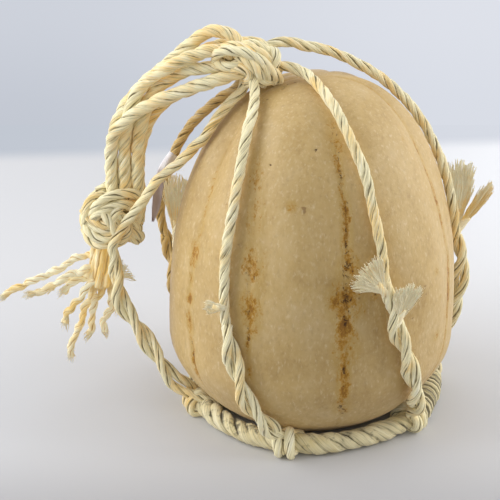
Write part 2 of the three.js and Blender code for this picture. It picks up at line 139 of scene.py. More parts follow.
# Each leg: name, where its end starts to come back up (a share of its length), how much older and
# browner its rope is, and its route.
LEGS = [
    ("front_left", 0.6, 0.0, [
        [-38, -8, 236], [-37, -18, 224], [-38, -31, 218], [-42, -44, 207], [-45, -54, 194], [-49, -64, 174],
        [-52, -70, 157], [-55, -74, 140], [-56, -77, 122], [-56, -80, 106], [-53, -84, 87], [-48, -88, 66],
        [-43, -90, 50], [-35, -88, 34], [-24, -84, 18], [-15, -77, 7],
    ]),
    ("front_right", 0.565, 0.05, [
        [-28, -2, 238], [-16, -3, 237.5], [-7, -6, 235], [-1, -15, 233], [4, -27, 230], [12, -43, 223],
        [18, -54, 214], [24, -63, 203], [30, -70, 190], [35, -78, 167], [40, -83, 147], [43, -86, 126],
        [47, -87, 110], [51, -87, 93], [58, -84, 74], [63, -80, 54], [67, -70, 34], [69, -54, 16],
        [66, -45, 7],
    ]),
    ("back_right", 0.625, 0.22, [
        [-34, 3, 246], [-24, 8, 250], [-15, 11, 249.5], [-4, 14, 246], [11, 18, 241.5], [27, 20, 234],
        [43, 22, 224], [54, 22, 215], [62, 22, 206], [71, 20, 195], [79, 18, 183], [84, 16, 172],
        [89, 14, 158], [94, 12, 141], [98, 10, 119], [102, 10, 103], [103, 12, 89], [103, 16, 75],
        [101, 21, 58], [97, 26, 40], [90, 30, 22], [82, 26, 7],
    ]),
    ("back", 0.62, 0.6, [
        [-36, 9, 236], [-42, 22, 223], [-50, 32, 211], [-57, 42, 195], [-59, 53, 179], [-58, 63, 160],
        [-54, 72, 140], [-49, 79, 118], [-43, 84, 96], [-37, 88, 74], [-31, 90, 52], [-25, 90, 32],
        [-20, 86, 16], [-17, 80, 7],
    ]),
    ("back_left", 0.595, 1.0, [
        [-43, 6, 232], [-49, 13, 218], [-57, 18, 211.5], [-66, 24, 202], [-73, 30, 194], [-81, 36, 183],
        [-87, 40, 172], [-91, 43, 163], [-95, 46, 152], [-99, 48, 136], [-102, 50, 122], [-102, 50, 110],
        [-99, 50, 99], [-96, 50, 87], [-94, 50, 70], [-91, 50, 50], [-85, 49, 30], [-76, 44, 15],
        [-69, 42, 7],
    ]),
    ("left", 0.535, 0.075, [
        [-43, -2, 230], [-46, -3, 219.5], [-54, -5, 209], [-62, -9, 199.5], [-75, -11, 187], [-87, -13, 175],
        [-99, -14, 165.5], [-110, -14, 149.5], [-118, -14, 139], [-125, -14, 129], [-130, -14, 119],
        [-129, -14, 111], [-128.5, -14, 95], [-126, -15, 79], [-119, -16.5, 66.5], [-113, -18, 58],
        [-107, -21, 48], [-95, -25, 30.5], [-85, -28, 19], [-72, -25, 7],
    ]),
]

HANDLE_ROUTES = [
    [[-44, 2, 243], [-48, 3, 252], [-53, 4, 256.5], [-59, 5, 258.5], [-67, 7, 257], [-74, 9, 252],
     [-81, 10.5, 246], [-88, 11.3, 239.5], [-96, 12, 232.5], [-104, 12.5, 225], [-113, 14, 216],
     [-121.5, 14.5, 205], [-127, 14.6, 194], [-130, 14.7, 182], [-131, 15, 170], [-131, 15, 157],
     [-131, 15, 140]],
    [[-46, -3, 242], [-54, -3.5, 247], [-62, -4, 248.5], [-70, -4.5, 247], [-77, -4, 244.5], [-84, -4, 241.5],
     [-91, -3, 237.5], [-98, -1, 233], [-105, 2, 227], [-111, 3.5, 220], [-115.5, 4.5, 212],
     [-118, 6, 203], [-120, 7, 193], [-121.7, 6.5, 182], [-122.3, 6, 170], [-122.3, 6, 157],
     [-122.5, 6, 140]],
    [[-47, -2, 239], [-59, -3, 237.5], [-68, -2, 236.5], [-77, 0, 235], [-85, 2, 231.5], [-92, 4, 226.5],
     [-98, 5, 222], [-103, 6, 214.5], [-107, 6.5, 206], [-110.5, 6.5, 195], [-113, 6.5, 183],
     [-113.7, 6, 170], [-114, 6, 157], [-113.5, 5.5, 147], [-112.8, 5, 138], [-114.5, 5, 128]],
    [[-43, -6, 236], [-56, -8, 232], [-67, -8, 228.5], [-78, -7, 224.5], [-88, -6, 220], [-96, -5, 217],
     [-103, -4, 213], [-110, -3, 209], [-116, -2.5, 204.5], [-122, -1.5, 199], [-127.5, 0.5, 192],
     [-130, 4, 182], [-131, 6, 170], [-131, 6, 157], [-131, 6, 140]],
    [[-44, 4, 235], [-57, 4, 229.5], [-67, 3.5, 225], [-77, 4.5, 221], [-86, 7, 216.5], [-93, 9.5, 212],
     [-99, 12, 205.5], [-105, 14.5, 197], [-109.5, 15, 186], [-112.5, 15, 177], [-113.7, 14.7, 168],
     [-114, 14.7, 157], [-113.7, 15.5, 147], [-114.5, 16.5, 138], [-118, 17.5, 128]],
    [[-44, 7, 242], [-53, 9.5, 247.5], [-62, 11.5, 246.5], [-72, 13, 241.5], [-81, 14, 235.5],
     [-89, 15, 228.5], [-97, 15.5, 220.5], [-105, 16, 211.5], [-111.5, 16, 202], [-117, 15.8, 192.5],
     [-120.5, 15, 182], [-122.3, 14.8, 170], [-122.3, 14.8, 157], [-122.5, 14.8, 140]],
]

TAIL_ROUTES = [
    [[-140, 6, 99], [-149, 5, 104], [-160, 3, 99.5], [-174, 0, 92.5], [-184, -3, 88.5], [-193.5, -5, 86],
     [-201, -6.5, 81.5], [-207.5, -8, 77]],
    [[-141, 3, 96], [-150, 1, 95.5], [-160, -2, 92], [-172, -5, 86], [-182, -7, 82], [-190, -9, 79]],
    [[-141, 9, 94], [-150, 9, 91], [-159, 8.5, 87], [-169, 8, 82], [-178, 7, 77]],
    [[-142, 4, 91], [-151, 4, 88.5], [-160, 2, 83.5], [-168, 0, 76]],
    [[-144, -1, 88], [-151, -4, 81], [-157, -6, 74], [-162, -7, 68], [-163.5, -7, 62], [-165, -7, 56]],
    [[-143, 8, 88], [-147, 8, 77], [-151, 7.5, 66], [-155, 6.5, 55], [-160, 6, 43], [-163, 6, 33],
     [-165, 6, 24]],
    [[-139, 2, 88], [-142, 1, 77], [-145, 0, 68], [-148, -1, 60], [-148, -1, 52], [-151, -1, 44]],
    [[-136, 5, 88], [-134.5, 7, 77], [-134, 8, 67], [-138, 8.5, 58], [-141, 9, 50], [-138, 9, 42]],
    [[-136, 11, 88], [-130.5, 13, 78], [-129.5, 14, 67], [-130, 14, 56]],
]

# How golden each rope of the tail is, and how much thicker than the sling's ropes they are.
TAIL_GOLD = [0.7, 0.4, 0.3, 0.0, 1.6, 1.3]
TAIL_SHARE = 1.12

# Each knot's core: share of the rope's radius, centre and half sizes. Then the ropes that show in it:
# first the crown knot, then the stopper knot at the tail's end.
CROWN_KNOT = (0.88, (-41, -1, 239), (16, 9, 9))
STOPPER_KNOT = (0.85, (-131, 6, 132), (15, 15.5, 17))
TOP_KNOT_ROPES = [
    [[-58.5, 4, 234.5], [-61.5, -2, 241], [-60.5, -7, 247], [-56, -10, 250], [-50, -12, 250.5],
     [-43, -13, 249.5], [-37, -13, 247], [-32, -12, 243.5], [-27.5, -11, 239], [-23.5, -9, 234],
     [-21.5, -4, 229], [-23.5, 3, 224]],
    [[-40, -6, 241.5], [-45, -8, 241.5], [-50, -9, 240], [-55, -8, 239], [-59.5, -5, 240.5],
     [-61, -1, 243.5]],
    [[-47.5, -8, 246.5], [-42.5, -12, 244.5], [-38, -14, 241.5], [-34.5, -13, 236.5], [-32, -9, 231.5],
     [-31, -3, 226.5]],
    [[-52.5, -7, 236], [-46.5, -11, 239], [-42, -13, 238.5], [-40, -11, 234], [-41.5, -6, 228.5],
     [-43, 0, 224.5]],
    [[-30, 1, 246], [-25.5, -4, 248], [-23.5, -8, 245.5], [-24.5, -9, 240.5], [-27, -6, 236.5],
     [-30, 0, 233]],
    [[-45, 1, 250], [-39.5, -2, 252], [-33.5, -4, 250.5], [-28.5, -4, 247.5], [-25, -1, 243.5]],
    [[-59, 0, 248], [-53, -5, 251.5], [-46.5, -8, 252], [-39.5, -9, 250], [-32.5, -9, 247.5],
     [-27.5, -8, 243.5], [-25, -5, 238]],
    [[-38.5, -10, 233], [-33.5, -10, 230.5], [-28.5, -9, 230], [-24, -6, 231.5], [-22.5, -1, 234]],
    [[-44, -10, 245.5], [-37.5, -12, 244], [-31, -12, 239.5], [-27.5, -11, 234.5], [-25.5, -6, 229]],
    [[-26, 8, 238], [-33, 10, 244], [-42, 10, 246], [-51, 8, 244], [-57, 4, 240]],
    [[-24, 4, 231], [-31, 10, 233], [-41, 12, 236], [-50, 10, 234], [-56, 5, 233]],
    [[-29, 5, 248], [-37, 6, 251], [-46, 6, 251], [-54, 3, 248]],
]
END_KNOT_ROPES = [
    [[-111.5, 6, 145], [-115, 0, 149.5], [-120.5, -4, 151.5], [-126.5, -6, 152], [-132.5, -8, 150.5],
     [-138, -9, 147], [-142, -9, 142], [-144.5, -6, 136]],
    [[-113, 4, 138.5], [-117.5, -2, 143], [-123.5, -7, 145], [-130, -9, 144.5], [-135, -11, 142.5],
     [-140, -11, 139], [-142.5, -8, 134]],
    [[-135, 4, 146], [-140, -1, 148], [-144, -4, 147], [-146.5, -6, 143], [-147.5, -6, 137],
     [-148, -3, 130], [-147.5, 2, 122.5]],
    [[-149.5, 0, 139], [-146.5, -6, 136.5], [-141.5, -10, 134], [-136, -12, 132.5], [-131.5, -12, 134],
     [-127.5, -10, 137.5], [-123.5, -8, 140]],
    [[-150, 4, 132.5], [-148.5, -3, 128], [-144.5, -8, 125], [-140, -10, 122.5], [-134, -11, 123],
     [-129.5, -11, 126], [-125.5, -9, 129]],
    [[-150.5, 8, 122], [-147, 1, 117], [-141.5, -3, 114.5], [-136, -5, 115.5], [-131, -6, 118.5],
     [-127.5, -7, 123.5], [-124.5, -5, 126]],
    [[-137, -11, 142], [-133, -13, 138], [-130, -13.5, 133.5], [-128, -12, 127.5], [-128, -7, 120.5]],
    [[-125.5, -8, 143], [-128.5, -11, 140], [-129.5, -12, 135.5], [-126, -11, 131]],
    [[-122.5, -5, 143], [-117, -2, 140.5], [-113.5, 2, 135.5], [-115, 3, 130.5], [-119.5, 0, 130.5],
     [-123, -4, 133.5]],
    [[-123.5, -4, 132], [-118, 0, 129], [-114.5, 4, 124.5], [-116, 6, 120], [-120.5, 2, 121.5]],
    [[-125.5, -6, 128.5], [-120, -2, 125], [-115, 1, 120.5], [-113, 6, 117], [-115.5, 10, 112.5]],
    [[-126.5, -5, 124], [-122, -2, 120.5], [-118, 1, 117], [-115, 7, 113.5]],
    [[-128, -10, 140], [-122, -9, 135], [-120, -8, 128], [-124, -7, 120], [-130, -5, 116]],
    [[-112, 8, 143], [-117, 17, 144], [-127, 22, 145], [-138, 19, 145], [-146, 10, 141]],
    [[-113, 10, 134], [-119, 20, 134], [-130, 25, 134], [-141, 21, 134], [-149, 11, 131]],
    [[-114, 10, 123], [-120, 19, 122], [-131, 24, 121], [-142, 20, 121], [-149, 10, 122]],
    [[-147, -3, 131], [-140.5, -9, 129.5], [-133, -11.5, 129.5], [-127, -9, 133]],
    [[-118, 9, 115], [-124, 17, 113], [-133, 19, 112], [-142, 15, 113], [-146, 8, 116]],
    [[-116, 9, 149], [-123, 13, 152], [-132, 13, 152], [-141, 8, 148]],
]

# Frayed ends: leg, base, tip, half width at the tip, thickness, fibres, how golden, whether the fan
# faces the front instead of away from the cheese, and whether the rope's own stub shows in it.
FRAYS = [
    ("front_left", [-60.5, -84, 108], [-68, -83, 108], 4.5, 2.5, 80, 0.1, False, True),
    ("front_right_inner", [40.5, -89.5, 123], [28, -97, 140], 13, 4, 300, 0.0, False, True),
    ("front_right_outer", [51.5, -89, 103], [57.5, -93, 126], 10, 4, 340, 0.1, False, True),
    ("back_right_inner", [98.5, 14, 118], [100.2, 22, 163], 10, 8, 420, 0.35, True, True),
    ("back_right_outer", [99.5, 13, 118], [120.4, 16, 150], 4, 5, 170, 0.8, True, True),
    ("back", [-52, 84, 126], [-60, 92, 142], 8, 5, 130, 0.5, False, True),
    ("back_left", [-91.3, 42, 101], [-91.1, 39, 146], 8.5, 9, 260, 0.4, True, True),
    ("left", [-123, -14, 99], [-119.5, -13.5, 101], 9, 2, 44, -0.2, True, False),
]
SKIRT_LINE = [[-137, 6, 116], [-138, 5, 108], [-139.5, 4.5, 96], [-141, 4.5, 82]]

TAG_MIDLINE = [
    [-91.5, 38.2, 163.5], [-94, 37.2, 160], [-99.5, 36.8, 150], [-102.5, 37.4, 138],
    [-104.5, 38.4, 124], [-107, 39.2, 113],
]
TAG_WIDTHS = [6.5, 7.5, 6.5, 6.5, 5.5, 1.5]
TAG_THICKNESS, TAG_CURL = 0.5, 1.5

# The stage, in metres: camera, floor, backdrop, and each softbox's name, place, aim, width, height and
# colour.
CAMERA_PLACE, CAMERA_TILT, SENSOR = (-0.040, -0.9501, 0.5324), radians(66), 36.0
FLOOR = [(-2.6, -3.0, 0), (2.6, -3.0, 0), (2.6, 0.56, 0), (-2.6, 0.56, 0)]
BACKDROP = [(-5, 2.2, -1.6), (5, 2.2, -1.6), (5, 2.2, 3), (-5, 2.2, 3)]
SOFTBOXES = [
    ("left_softbox", (-1.15, -0.05, 0.70), (0, 0, 0.10), 1.2, 1.1, (0.97, 0.98, 1.0)),
    ("right_softbox", (1.15, 0.10, 0.62), (0, 0, 0.10), 1.1, 1.1, (1.0, 0.99, 0.97)),
    ("top_softbox", (-0.1, 0.45, 1.25), (0, 0, 0.05), 1.2, 0.9, (1.0, 1.0, 1.0)),
]
RIGHT_SHARE = 0.8
ROOM_LIGHT = 0.75


# ------------------------------------------------------------------ small vector helpers

def unit(vectors):
    """Each vector divided by its length."""
    return vectors / np.linalg.norm(vectors, axis=-1, keepdims=True)


def run_of(line):
    """The distance along a line at each of its points, from 0."""
    return np.concatenate([[0.0], np.cumsum(np.linalg.norm(np.diff(line, axis=0), axis=1))])


def evenly(line, step):
    """The same line with points a step apart: x, y and z interpolated over the distance along it."""
    run = run_of(line)
    at = np.linspace(0, run[-1], max(3, int(round(run[-1] / step)) + 1))
    return np.stack([np.interp(at, run, line[:, axis]) for axis in range(3)], axis=1)


def smooth_path(points, step):
    """A centripetal Catmull-Rom curve through the points.

    Between two points it is a cubic whose end slopes weigh the neighbouring chords by the square roots
    of their lengths; it is then sampled one step apart.
    """
    p = np.asarray(points, float)
    p = np.vstack([2 * p[0] - p[1], p, 2 * p[-1] - p[-2]])
    root = np.linalg.norm(np.diff(p, axis=0), axis=1)[:, None] ** 0.5
    before, here, after = root[:-2], root[1:-1], root[2:]
    p0, p1, p2, p3 = p[:-3], p[1:-2], p[2:-1], p[3:]
    leaving = ((p1 - p0) / before - (p2 - p0) / (before + here) + (p2 - p1) / here) * here
    arriving = ((p2 - p1) / here - (p3 - p1) / (here + after) + (p3 - p2) / after) * here
    t = np.linspace(0, 1, 24, endpoint=False)[:, None, None]
    fine = (p1 * (2 * t**3 - 3 * t**2 + 1) + leaving * (t**3 - 2 * t**2 + t)
            + p2 * (3 * t**2 - 2 * t**3) + arriving * (t**3 - t**2))
    return evenly(np.vstack([fine.transpose(1, 0, 2).reshape(-1, 3), p[-2:-1]]), step)


def frames_along(line):
    """Tangent, normal and binormal at each point, without twist.

    A first normal is the fixed direction least along the line, made square to the tangent; its own
    turning about the tangent, the running sum of (change of normal) . binormal, is then taken out.
    """
    tangent = unit(np.gradient(line, axis=0))
    reference = np.linalg.svd(tangent, full_matrices=False)[2][-1]
    normal = unit(reference - (tangent @ reference)[:, None] * tangent)
    binormal = np.cross(tangent, normal)
    change = (np.diff(normal, axis=0) * (binormal[1:] + binormal[:-1]) / 2).sum(1)
    turn = np.concatenate([[0.0], np.cumsum(change)])[:, None]
    return (tangent, np.cos(turn) * normal - np.sin(turn) * binormal,
            np.sin(turn) * normal + np.cos(turn) * binormal)


def wander(along, seed, waves=5, longest=1.0):
    """Smooth noise about 0 with spread 1: a sum of sines of halving length with random phases."""
    draw = np.random.default_rng(seed)
    total = np.zeros(np.shape(along))
    for wave in range(waves):
        length = longest / 1.7**wave
        total = total + 0.75**wave * np.sin(2 * pi * along / length + draw.uniform(0, 2 * pi))
    return total


def bell(gap, half_width):
    """1 where the gap is nothing, falling off as exp(-(gap / half width)^2)."""
    return np.exp(-((gap / half_width) ** 2))


# ------------------------------------------------------------------ the cheese's own surface

def cheese_level(p):
    """How far a point is outside the smooth cheese, in millimetres, and the way out.

    level = (rho^n + height^n)^(1/n) - 1 with rho and height as shares of the cheese's reach, divided
    by the length of its slope.
    """
    def level(q):
        rho = np.hypot(q[..., 0] - LEAN * q[..., 2], q[..., 1]) / CHEESE_RADIUS
        rise = q[..., 2] - BELLY_HEIGHT
        reach = np.where(rise >= 0, CROWN_RISE, FOOT_DROP)
        power = np.where(rise >= 0, CROWN_POWER, FOOT_POWER)
        return (rho**power + (np.abs(rise) / reach) ** power) ** (1 / power) - 1

    probe = np.eye(3) * 0.05
    slope = np.stack([(level(p + step) - level(p - step)) / 0.1 for step in probe], axis=-1)
    steepness = np.linalg.norm(slope, axis=-1)
    return level(p) / steepness, slope / steepness[..., None]


def off_cheese(p, distance):
    """Points moved straight out until each stands at least the distance off the smooth cheese."""
    moved = np.array(p, float)
    for _ in range(4):
        gap, way = cheese_level(moved)
        moved += way * np.maximum(distance - gap, 0)[..., None]
    return moved


def groove_turn(z):
    """Shares of the crown turn and of the foot turn at a height."""
    up = np.clip((z - TURN_HEIGHT) / (CROWN_TOP - TURN_HEIGHT), 0, 1)
    down = np.clip((TURN_HEIGHT - z) / TURN_HEIGHT, 0, 1)
    return up**4, down**2


def around(a, b):
    """The difference of two azimuths, from -180 to 180 degrees."""
    return (a - b + 180) % 360 - 180


def cheese_rows():
    """Radius and height of each row from the middle of the flat spot up to the crown's pole.

    Radius = R sin(t)^(2 / n) and rise = H cos(t)^(2 / n), with t in even steps from belly to crown and
    n the crown's power; the foot is the same with its own drop and power, cut off by the table.
    """
    t = np.linspace(pi / 2, 0, CROWN_ROWS)[:-1]
    crown = CHEESE_RADIUS * np.sin(t) ** (2 / CROWN_POWER)
    crown_height = BELLY_HEIGHT + CROWN_RISE * np.cos(t) ** (2 / CROWN_POWER)
    table = np.arcsin((BELLY_HEIGHT / FOOT_DROP) ** (FOOT_POWER / 2))
    t = np.linspace(table, 0, FOOT_ROWS, endpoint=False)
    foot = CHEESE_RADIUS * np.cos(t) ** (2 / FOOT_POWER)
    foot_height = BELLY_HEIGHT - FOOT_DROP * np.sin(t) ** (2 / FOOT_POWER)
    foot_height[0] = 0
    flat = np.linspace(0, foot[0], FLAT_ROWS, endpoint=False)[1:]
    return np.concatenate([flat, foot, crown]), np.concatenate([0 * flat, foot_height, crown_height])


def cheese_columns(count):
    """Azimuths at the belly, closer together near the grooves: equal steps of a running density."""
    fine = np.linspace(-180, 180, 7201)
    density = 1 + 3.0 * bell(around(fine[:, None], GROOVES[:, 0]), 3.0).sum(1)
    run = np.concatenate([[0.0], np.cumsum((density[1:] + density[:-1]) / 2)])
    return np.interp(np.arange(count) / count * run[-1], run, fine)


def crease_gap(belly, number, radius, z):
    """Millimetres round the cheese from the wavering crease in the middle of a groove."""
    away = around(belly, GROOVES[number, 0])[None, :]
    return away * pi / 180 * np.maximum(radius, 20) - CREASE_WAVER * wander(z, 40 + number, longest=130)


def stain_strengths(azimuth, gaps, radius, z):
    """Orange and brown on the rind: the strongest of all stains and marks at each point.

    A stain is a bell over the distance from its crease times exp(-|height off / half length|^3); a mark
    is a bell over the distance from its middle. Brown keeps nearer the middle than orange.
    """
    orange, brown = np.zeros(azimuth.shape), np.zeros(azimuth.shape)
    for groove, height, half, width, o, b in STAINS:
        upright = np.exp(-((np.abs(z - height) / half) ** 3))
        orange = np.maximum(orange, o * upright * bell(gaps[groove], width))
        brown = np.maximum(brown, b * upright * bell(gaps[groove], 0.6 * width))
    for centre, height, size, o, b in MARKS:
        gap = np.hypot(around(azimuth, centre) * pi / 180 * radius, z - height)
        orange = np.maximum(orange, o * bell(gap, size))
        brown = np.maximum(brown, b * bell(gap, 0.7 * size))
    return orange, brown


def cheese_surface(columns, relief):
    """The grooved rind on a grid [row, column], with its stain and pit strengths.

    Azimuth = column + groove turn; radius = smooth radius - broad valleys - thin creases - pits
    + slow lumps, four sines over azimuth and height with a fine grain.
    """
    belly = cheese_columns(columns)
    radius, z = cheese_rows()
    up, down = groove_turn(z)
    order = np.argsort(GROOVES[:, 0])
    turns = [np.interp(belly, GROOVES[order, 0], GROOVES[order, column], period=360) for column in (1, 2)]
    azimuth = belly + up[:, None] * turns[0] + down[:, None] * turns[1]
    radius, z = radius[:, None], z[:, None]
    fade = np.clip(radius / (CHEESE_RADIUS / 2), 0, 1)
    side = np.clip((z - 4) / 24, 0, 1) * np.clip((CROWN_TOP - z) / 8, 0, 1)
    high, low = np.clip((z - 120) / 80, 0, 1), np.clip((z - 4) / 30, 0, 1)
    valley = (0.55 * GROOVE_DEPTH + 4.6 * high) * low * low * (3 - 2 * low)
    gaps = [crease_gap(belly, number, radius, z) for number in range(len(GROOVES))]
    sunk = np.zeros(azimuth.shape)
    for number, (centre, _, _, crease, share) in enumerate(GROOVES):
        sunk += fade * share * valley * bell(around(belly, centre)[None, :], GROOVE_HALF_WIDTH)
        depth = crease * (0.8 + 0.7 * wander(z, 60 + number, longest=70)).clip(0.0)
        lip = side * CREASE_LIP * bell(np.abs(gaps[number]) - LIP_PLACE, LIP_HALF_WIDTH)
        sunk += side * depth * bell(gaps[number], CREASE_HALF_WIDTH) - lip
    orange, brown = stain_strengths(azimuth, gaps, radius, z)
    angle = np.radians(azimuth)
    lumps = (0.35 * np.sin(3 * angle + z / 37 + 1.3) + 0.3 * np.sin(5 * angle - z / 29)
             + 0.22 * np.sin(9 * angle + z / 17 + 0.6) + 0.12 * np.sin(17 * angle + z / 9))
    grain = np.random.default_rng(11).normal(size=azimuth.shape)
    grain = sum(np.roll(grain, step, axis) for step, axis in ((0, 0), (1, 1), (-1, 1), (1, 0), (-1, 0))) / 5
    pits = brown * (0.9 + 1.6 * grain).clip(0, 3)
    out = fade * radius / CHEESE_RADIUS * side * relief * (lumps + 0.1 * grain)
    into = np.minimum(sunk, radius) * radius / np.maximum(radius, 1) * (fade > 0)
    kept = np.maximum(radius - into + out - 0.9 * pits * side, radius * 0.5)
    points = np.stack([kept * np.sin(angle) + LEAN * z, -kept * np.cos(angle), z + 0 * angle], axis=-1)
    return points, orange, brown


# ------------------------------------------------------------------ meshes

def mesh_piece(name, blocks, paint):
    """One object from blocks of (points, faces, corner maps, point values): foreach_set on whole arrays."""
    points, corners, starts, maps, values = [], [], [], [], {}
    base = loops = 0
    named = sorted({key for block in blocks for key in block["values"]})
    for block in blocks:
        for faces, uv in block["faces"]:
            corners.append(faces.ravel() + base)
            starts.append(loops + np.arange(len(faces)) * faces.shape[1])
            maps.append(uv.reshape(-1, 2))
            loops += faces.size
        above = np.maximum(block["points"].reshape(-1, 3), (-np.inf, -np.inf, TABLE_CLEARANCE))
        points.append(above * MM)
        base += len(points[-1])
        for key in named:
            values.setdefault(key, []).append(block["values"].get(key, np.zeros(len(points[-1]))).ravel())
    mesh = bpy.data.meshes.new(name)
    points, corners, starts = np.concatenate(points), np.concatenate(corners), np.concatenate(starts)
    mesh.vertices.add(len(points))
    mesh.vertices.foreach_set("co", points.astype(np.float32).ravel())
    mesh.loops.add(len(corners))
    mesh.loops.foreach_set("vertex_index", corners.astype(np.int32))
    mesh.polygons.add(len(starts))
    mesh.polygons.foreach_set("loop_start", starts.astype(np.int32))
    mesh.polygons.foreach_set("use_smooth", np.ones(len(starts), bool))
    mesh.update(calc_edges=True)
    layer = mesh.uv_layers.new(name="fibre")
    layer.data.foreach_set("uv", np.concatenate(maps).astype(np.float32).ravel())
    for key, value in values.items():
        attribute = mesh.attributes.new(key, "FLOAT", "POINT")
        attribute.data.foreach_set("value", np.concatenate(value).astype(np.float32))
    mesh.materials.append(paint)
    piece = bpy.data.objects.new(name, mesh)
    bpy.context.scene.collection.objects.link(piece)
    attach(piece, BODY)
    return piece


def tube_block(grid, run, **values):
    """Tubes [tube, step, side, xyz]: quads round and along each, and a fan of triangles on each end."""
    tubes, steps, sides, _ = grid.shape
    index = np.arange(tubes * steps * sides).reshape(tubes, steps, sides)
    after = np.roll(index, -1, axis=2)
    quads = np.stack([index[:, :-1], after[:, :-1], after[:, 1:], index[:, 1:]], -1)
    share = np.arange(sides + 1) / sides
    run = np.broadcast_to(run, (tubes, steps))
    low, high = run[:, :-1, None], run[:, 1:, None]
    left, right = share[:-1], share[1:]
    uv = np.stack([np.stack([u + 0 * v, v + 0 * u], -1)
                   for u, v in ((left, low), (right, low), (right, high), (left, high))], -2)
    tip = tubes * steps * sides + np.arange(2 * tubes).reshape(tubes, 2, 1) + np.zeros((1, 1, sides), int)
    start = np.stack([tip[:, 0], after[:, 0], index[:, 0]], -1)
    finish = np.stack([tip[:, 1], index[:, -1], after[:, -1]], -1)
    caps = np.concatenate([start.reshape(-1, 3), finish.reshape(-1, 3)])
    cap_uv = np.zeros((len(caps), 3, 2))
    ends = grid[:, [0, -1]].mean(axis=2)
    full = {}
    for key, value in values.items():
        value = np.broadcast_to(value, (tubes, steps, sides))
        full[key] = np.concatenate([value.ravel(), value[:, [0, -1]].mean(axis=2).ravel()])
    return {"points": np.concatenate([grid.reshape(-1, 3), ends.reshape(-1, 3)]),
            "faces": [(quads.reshape(-1, 4), uv.reshape(-1, 4, 2)), (caps, cap_uv)], "values": full}


def rope_block(line, radius, lay, sides=18, phase=0.0, age=0.0, gold=0.0, seed=0, soiled=0.0):
    """A laid rope along a line.

    Strand k's middle is P + a (cos w N + sin w B) with w = 2 pi s / lay + 2 pi k / 3 and a about half
    the rope's radius; round it runs a section r (cos f E1 + 1.28 sin f E2), rippled by its yarns. Depth
    is 0 on the rope's outside and 1 down between the strands.
    """
    run = run_of(line)
    radius = np.broadcast_to(radius, run.shape)
    loose = 1 + 0.035 * wander(run, seed + 5, longest=70)
    _, normal, binormal = frames_along(line)
    turned = np.cumsum(np.gradient(run) / (lay * (1 + 0.09 * wander(run, seed, longest=110))))
    which = np.arange(STRANDS)[:, None]
    angle = 2 * pi * turned + phase + 2 * pi * which / STRANDS
    away = np.cos(angle)[..., None] * normal + np.sin(angle)[..., None] * binormal
    across = np.cos(angle)[..., None] * binormal - np.sin(angle)[..., None] * normal
    middle = line + (0.50 * radius * loose)[:, None] * away
    thick = 0.46 * radius * (1 + 0.07 * wander(run + 31 * which, seed + 9, longest=40))
    along = unit(np.gradient(middle, axis=1))
    across = unit(across - (across * along).sum(-1, keepdims=True) * along)
    f = 2 * pi * (np.arange(sides) + 0.5) / sides + pi
    twist = 0.11 * run[:, None] + 0.4 * wander(run, seed + 12, longest=50)[:, None]
    ripple = 1 + 0.05 * np.cos(6 * (f + twist) + seed) + 0.03 * np.cos(4 * f - 3 * twist + seed)
    section = np.cos(f)[:, None] * away[..., None, :] + 1.28 * np.sin(f)[:, None] * across[..., None, :]
    grid = middle[..., None, :] + (thick[..., None] * ripple)[..., None] * section
    reach = np.linalg.norm(grid - line[:, None, :], axis=-1) / radius[:, None]
    depth = np.clip((0.93 - reach) / 0.42, 0, 1)
    draw = np.random.default_rng(seed)
    patches = 0.35 * wander(run[:, None] + 0 * f, seed + 3, longest=120)
    tint = gold + draw.uniform(-0.5, 0.5, (STRANDS, 1, 1)) + patches
    left = np.clip(0.6 - line[:, 0] / 70, 0.2, 1)[:, None]
    soil = soiled * left * np.clip((grid[..., 2] - RING_RADIUS) / 5, -0.4, 1)
    return tube_block(grid, run * MM + draw.uniform(0, 9), depth=depth, tint=tint, soil=soil,
                      age=np.full((1, 1, 1), age))


def fibre_block(start, end, bow, thick, segments=8, seed=0, age=0.0, taper=0.35, frizz=0.35, tint=0.0):
    """Single fibres [fibre]: a cubic from start, leaving along bow, to end, with a little frizz.

    P(t) = (1-t)^3 S + 3 (1-t)^2 t (S + bow/3) + 3 (1-t) t^2 (E - (E-S)/3) + t^3 E, a four-sided
    section thinning to the tip.
    """
    draw = np.random.default_rng(seed)
    t = np.linspace(0, 1, segments + 1)[None, :, None]
    start, end, bow = start[:, None], end[:, None], bow[:, None]
    line = ((1 - t) ** 3 * start + 3 * (1 - t) ** 2 * t * (start + bow / 3)
            + 3 * (1 - t) * t**2 * (end - (end - start) / 3) + t**3 * end)
    phase = draw.uniform(0, 2 * pi, (len(line), 1, 3))
    rate = draw.uniform(0.7, 1.7, (len(line), 1, 3))
    line = line + frizz * t * np.sin(2 * pi * rate * t * 1.6 + phase)
    along = unit(np.gradient(line, axis=1))
    spin = unit(draw.normal(size=(len(line), 1, 3)))
    side = unit(np.cross(along, spin + 0 * along))
    other = np.cross(along, side)
    size = thick * draw.uniform(0.7, 1.3, (len(line), 1, 1, 1)) * (1 - (1 - taper) * t[..., None])
    f = (pi / 4 + pi / 2 * np.arange(4))[:, None]
    grid = line[:, :, None] + size * (np.cos(f) * side[:, :, None] + 0.6 * np.sin(f) * other[:, :, None])
    run = np.linspace(0, 0.02, segments + 1) + draw.uniform(0, 5, (len(line), 1))
    shade = tint + draw.uniform(-0.8, 0.8, (len(line), 1, 1))
    # Depth 0.12 at the root falling to 0 at the tip darkens the fibres a little there as painted shade.
    return tube_block(grid, run, depth=0.12 * (1 - t), tint=shade, age=np.full((1, 1, 1), age))


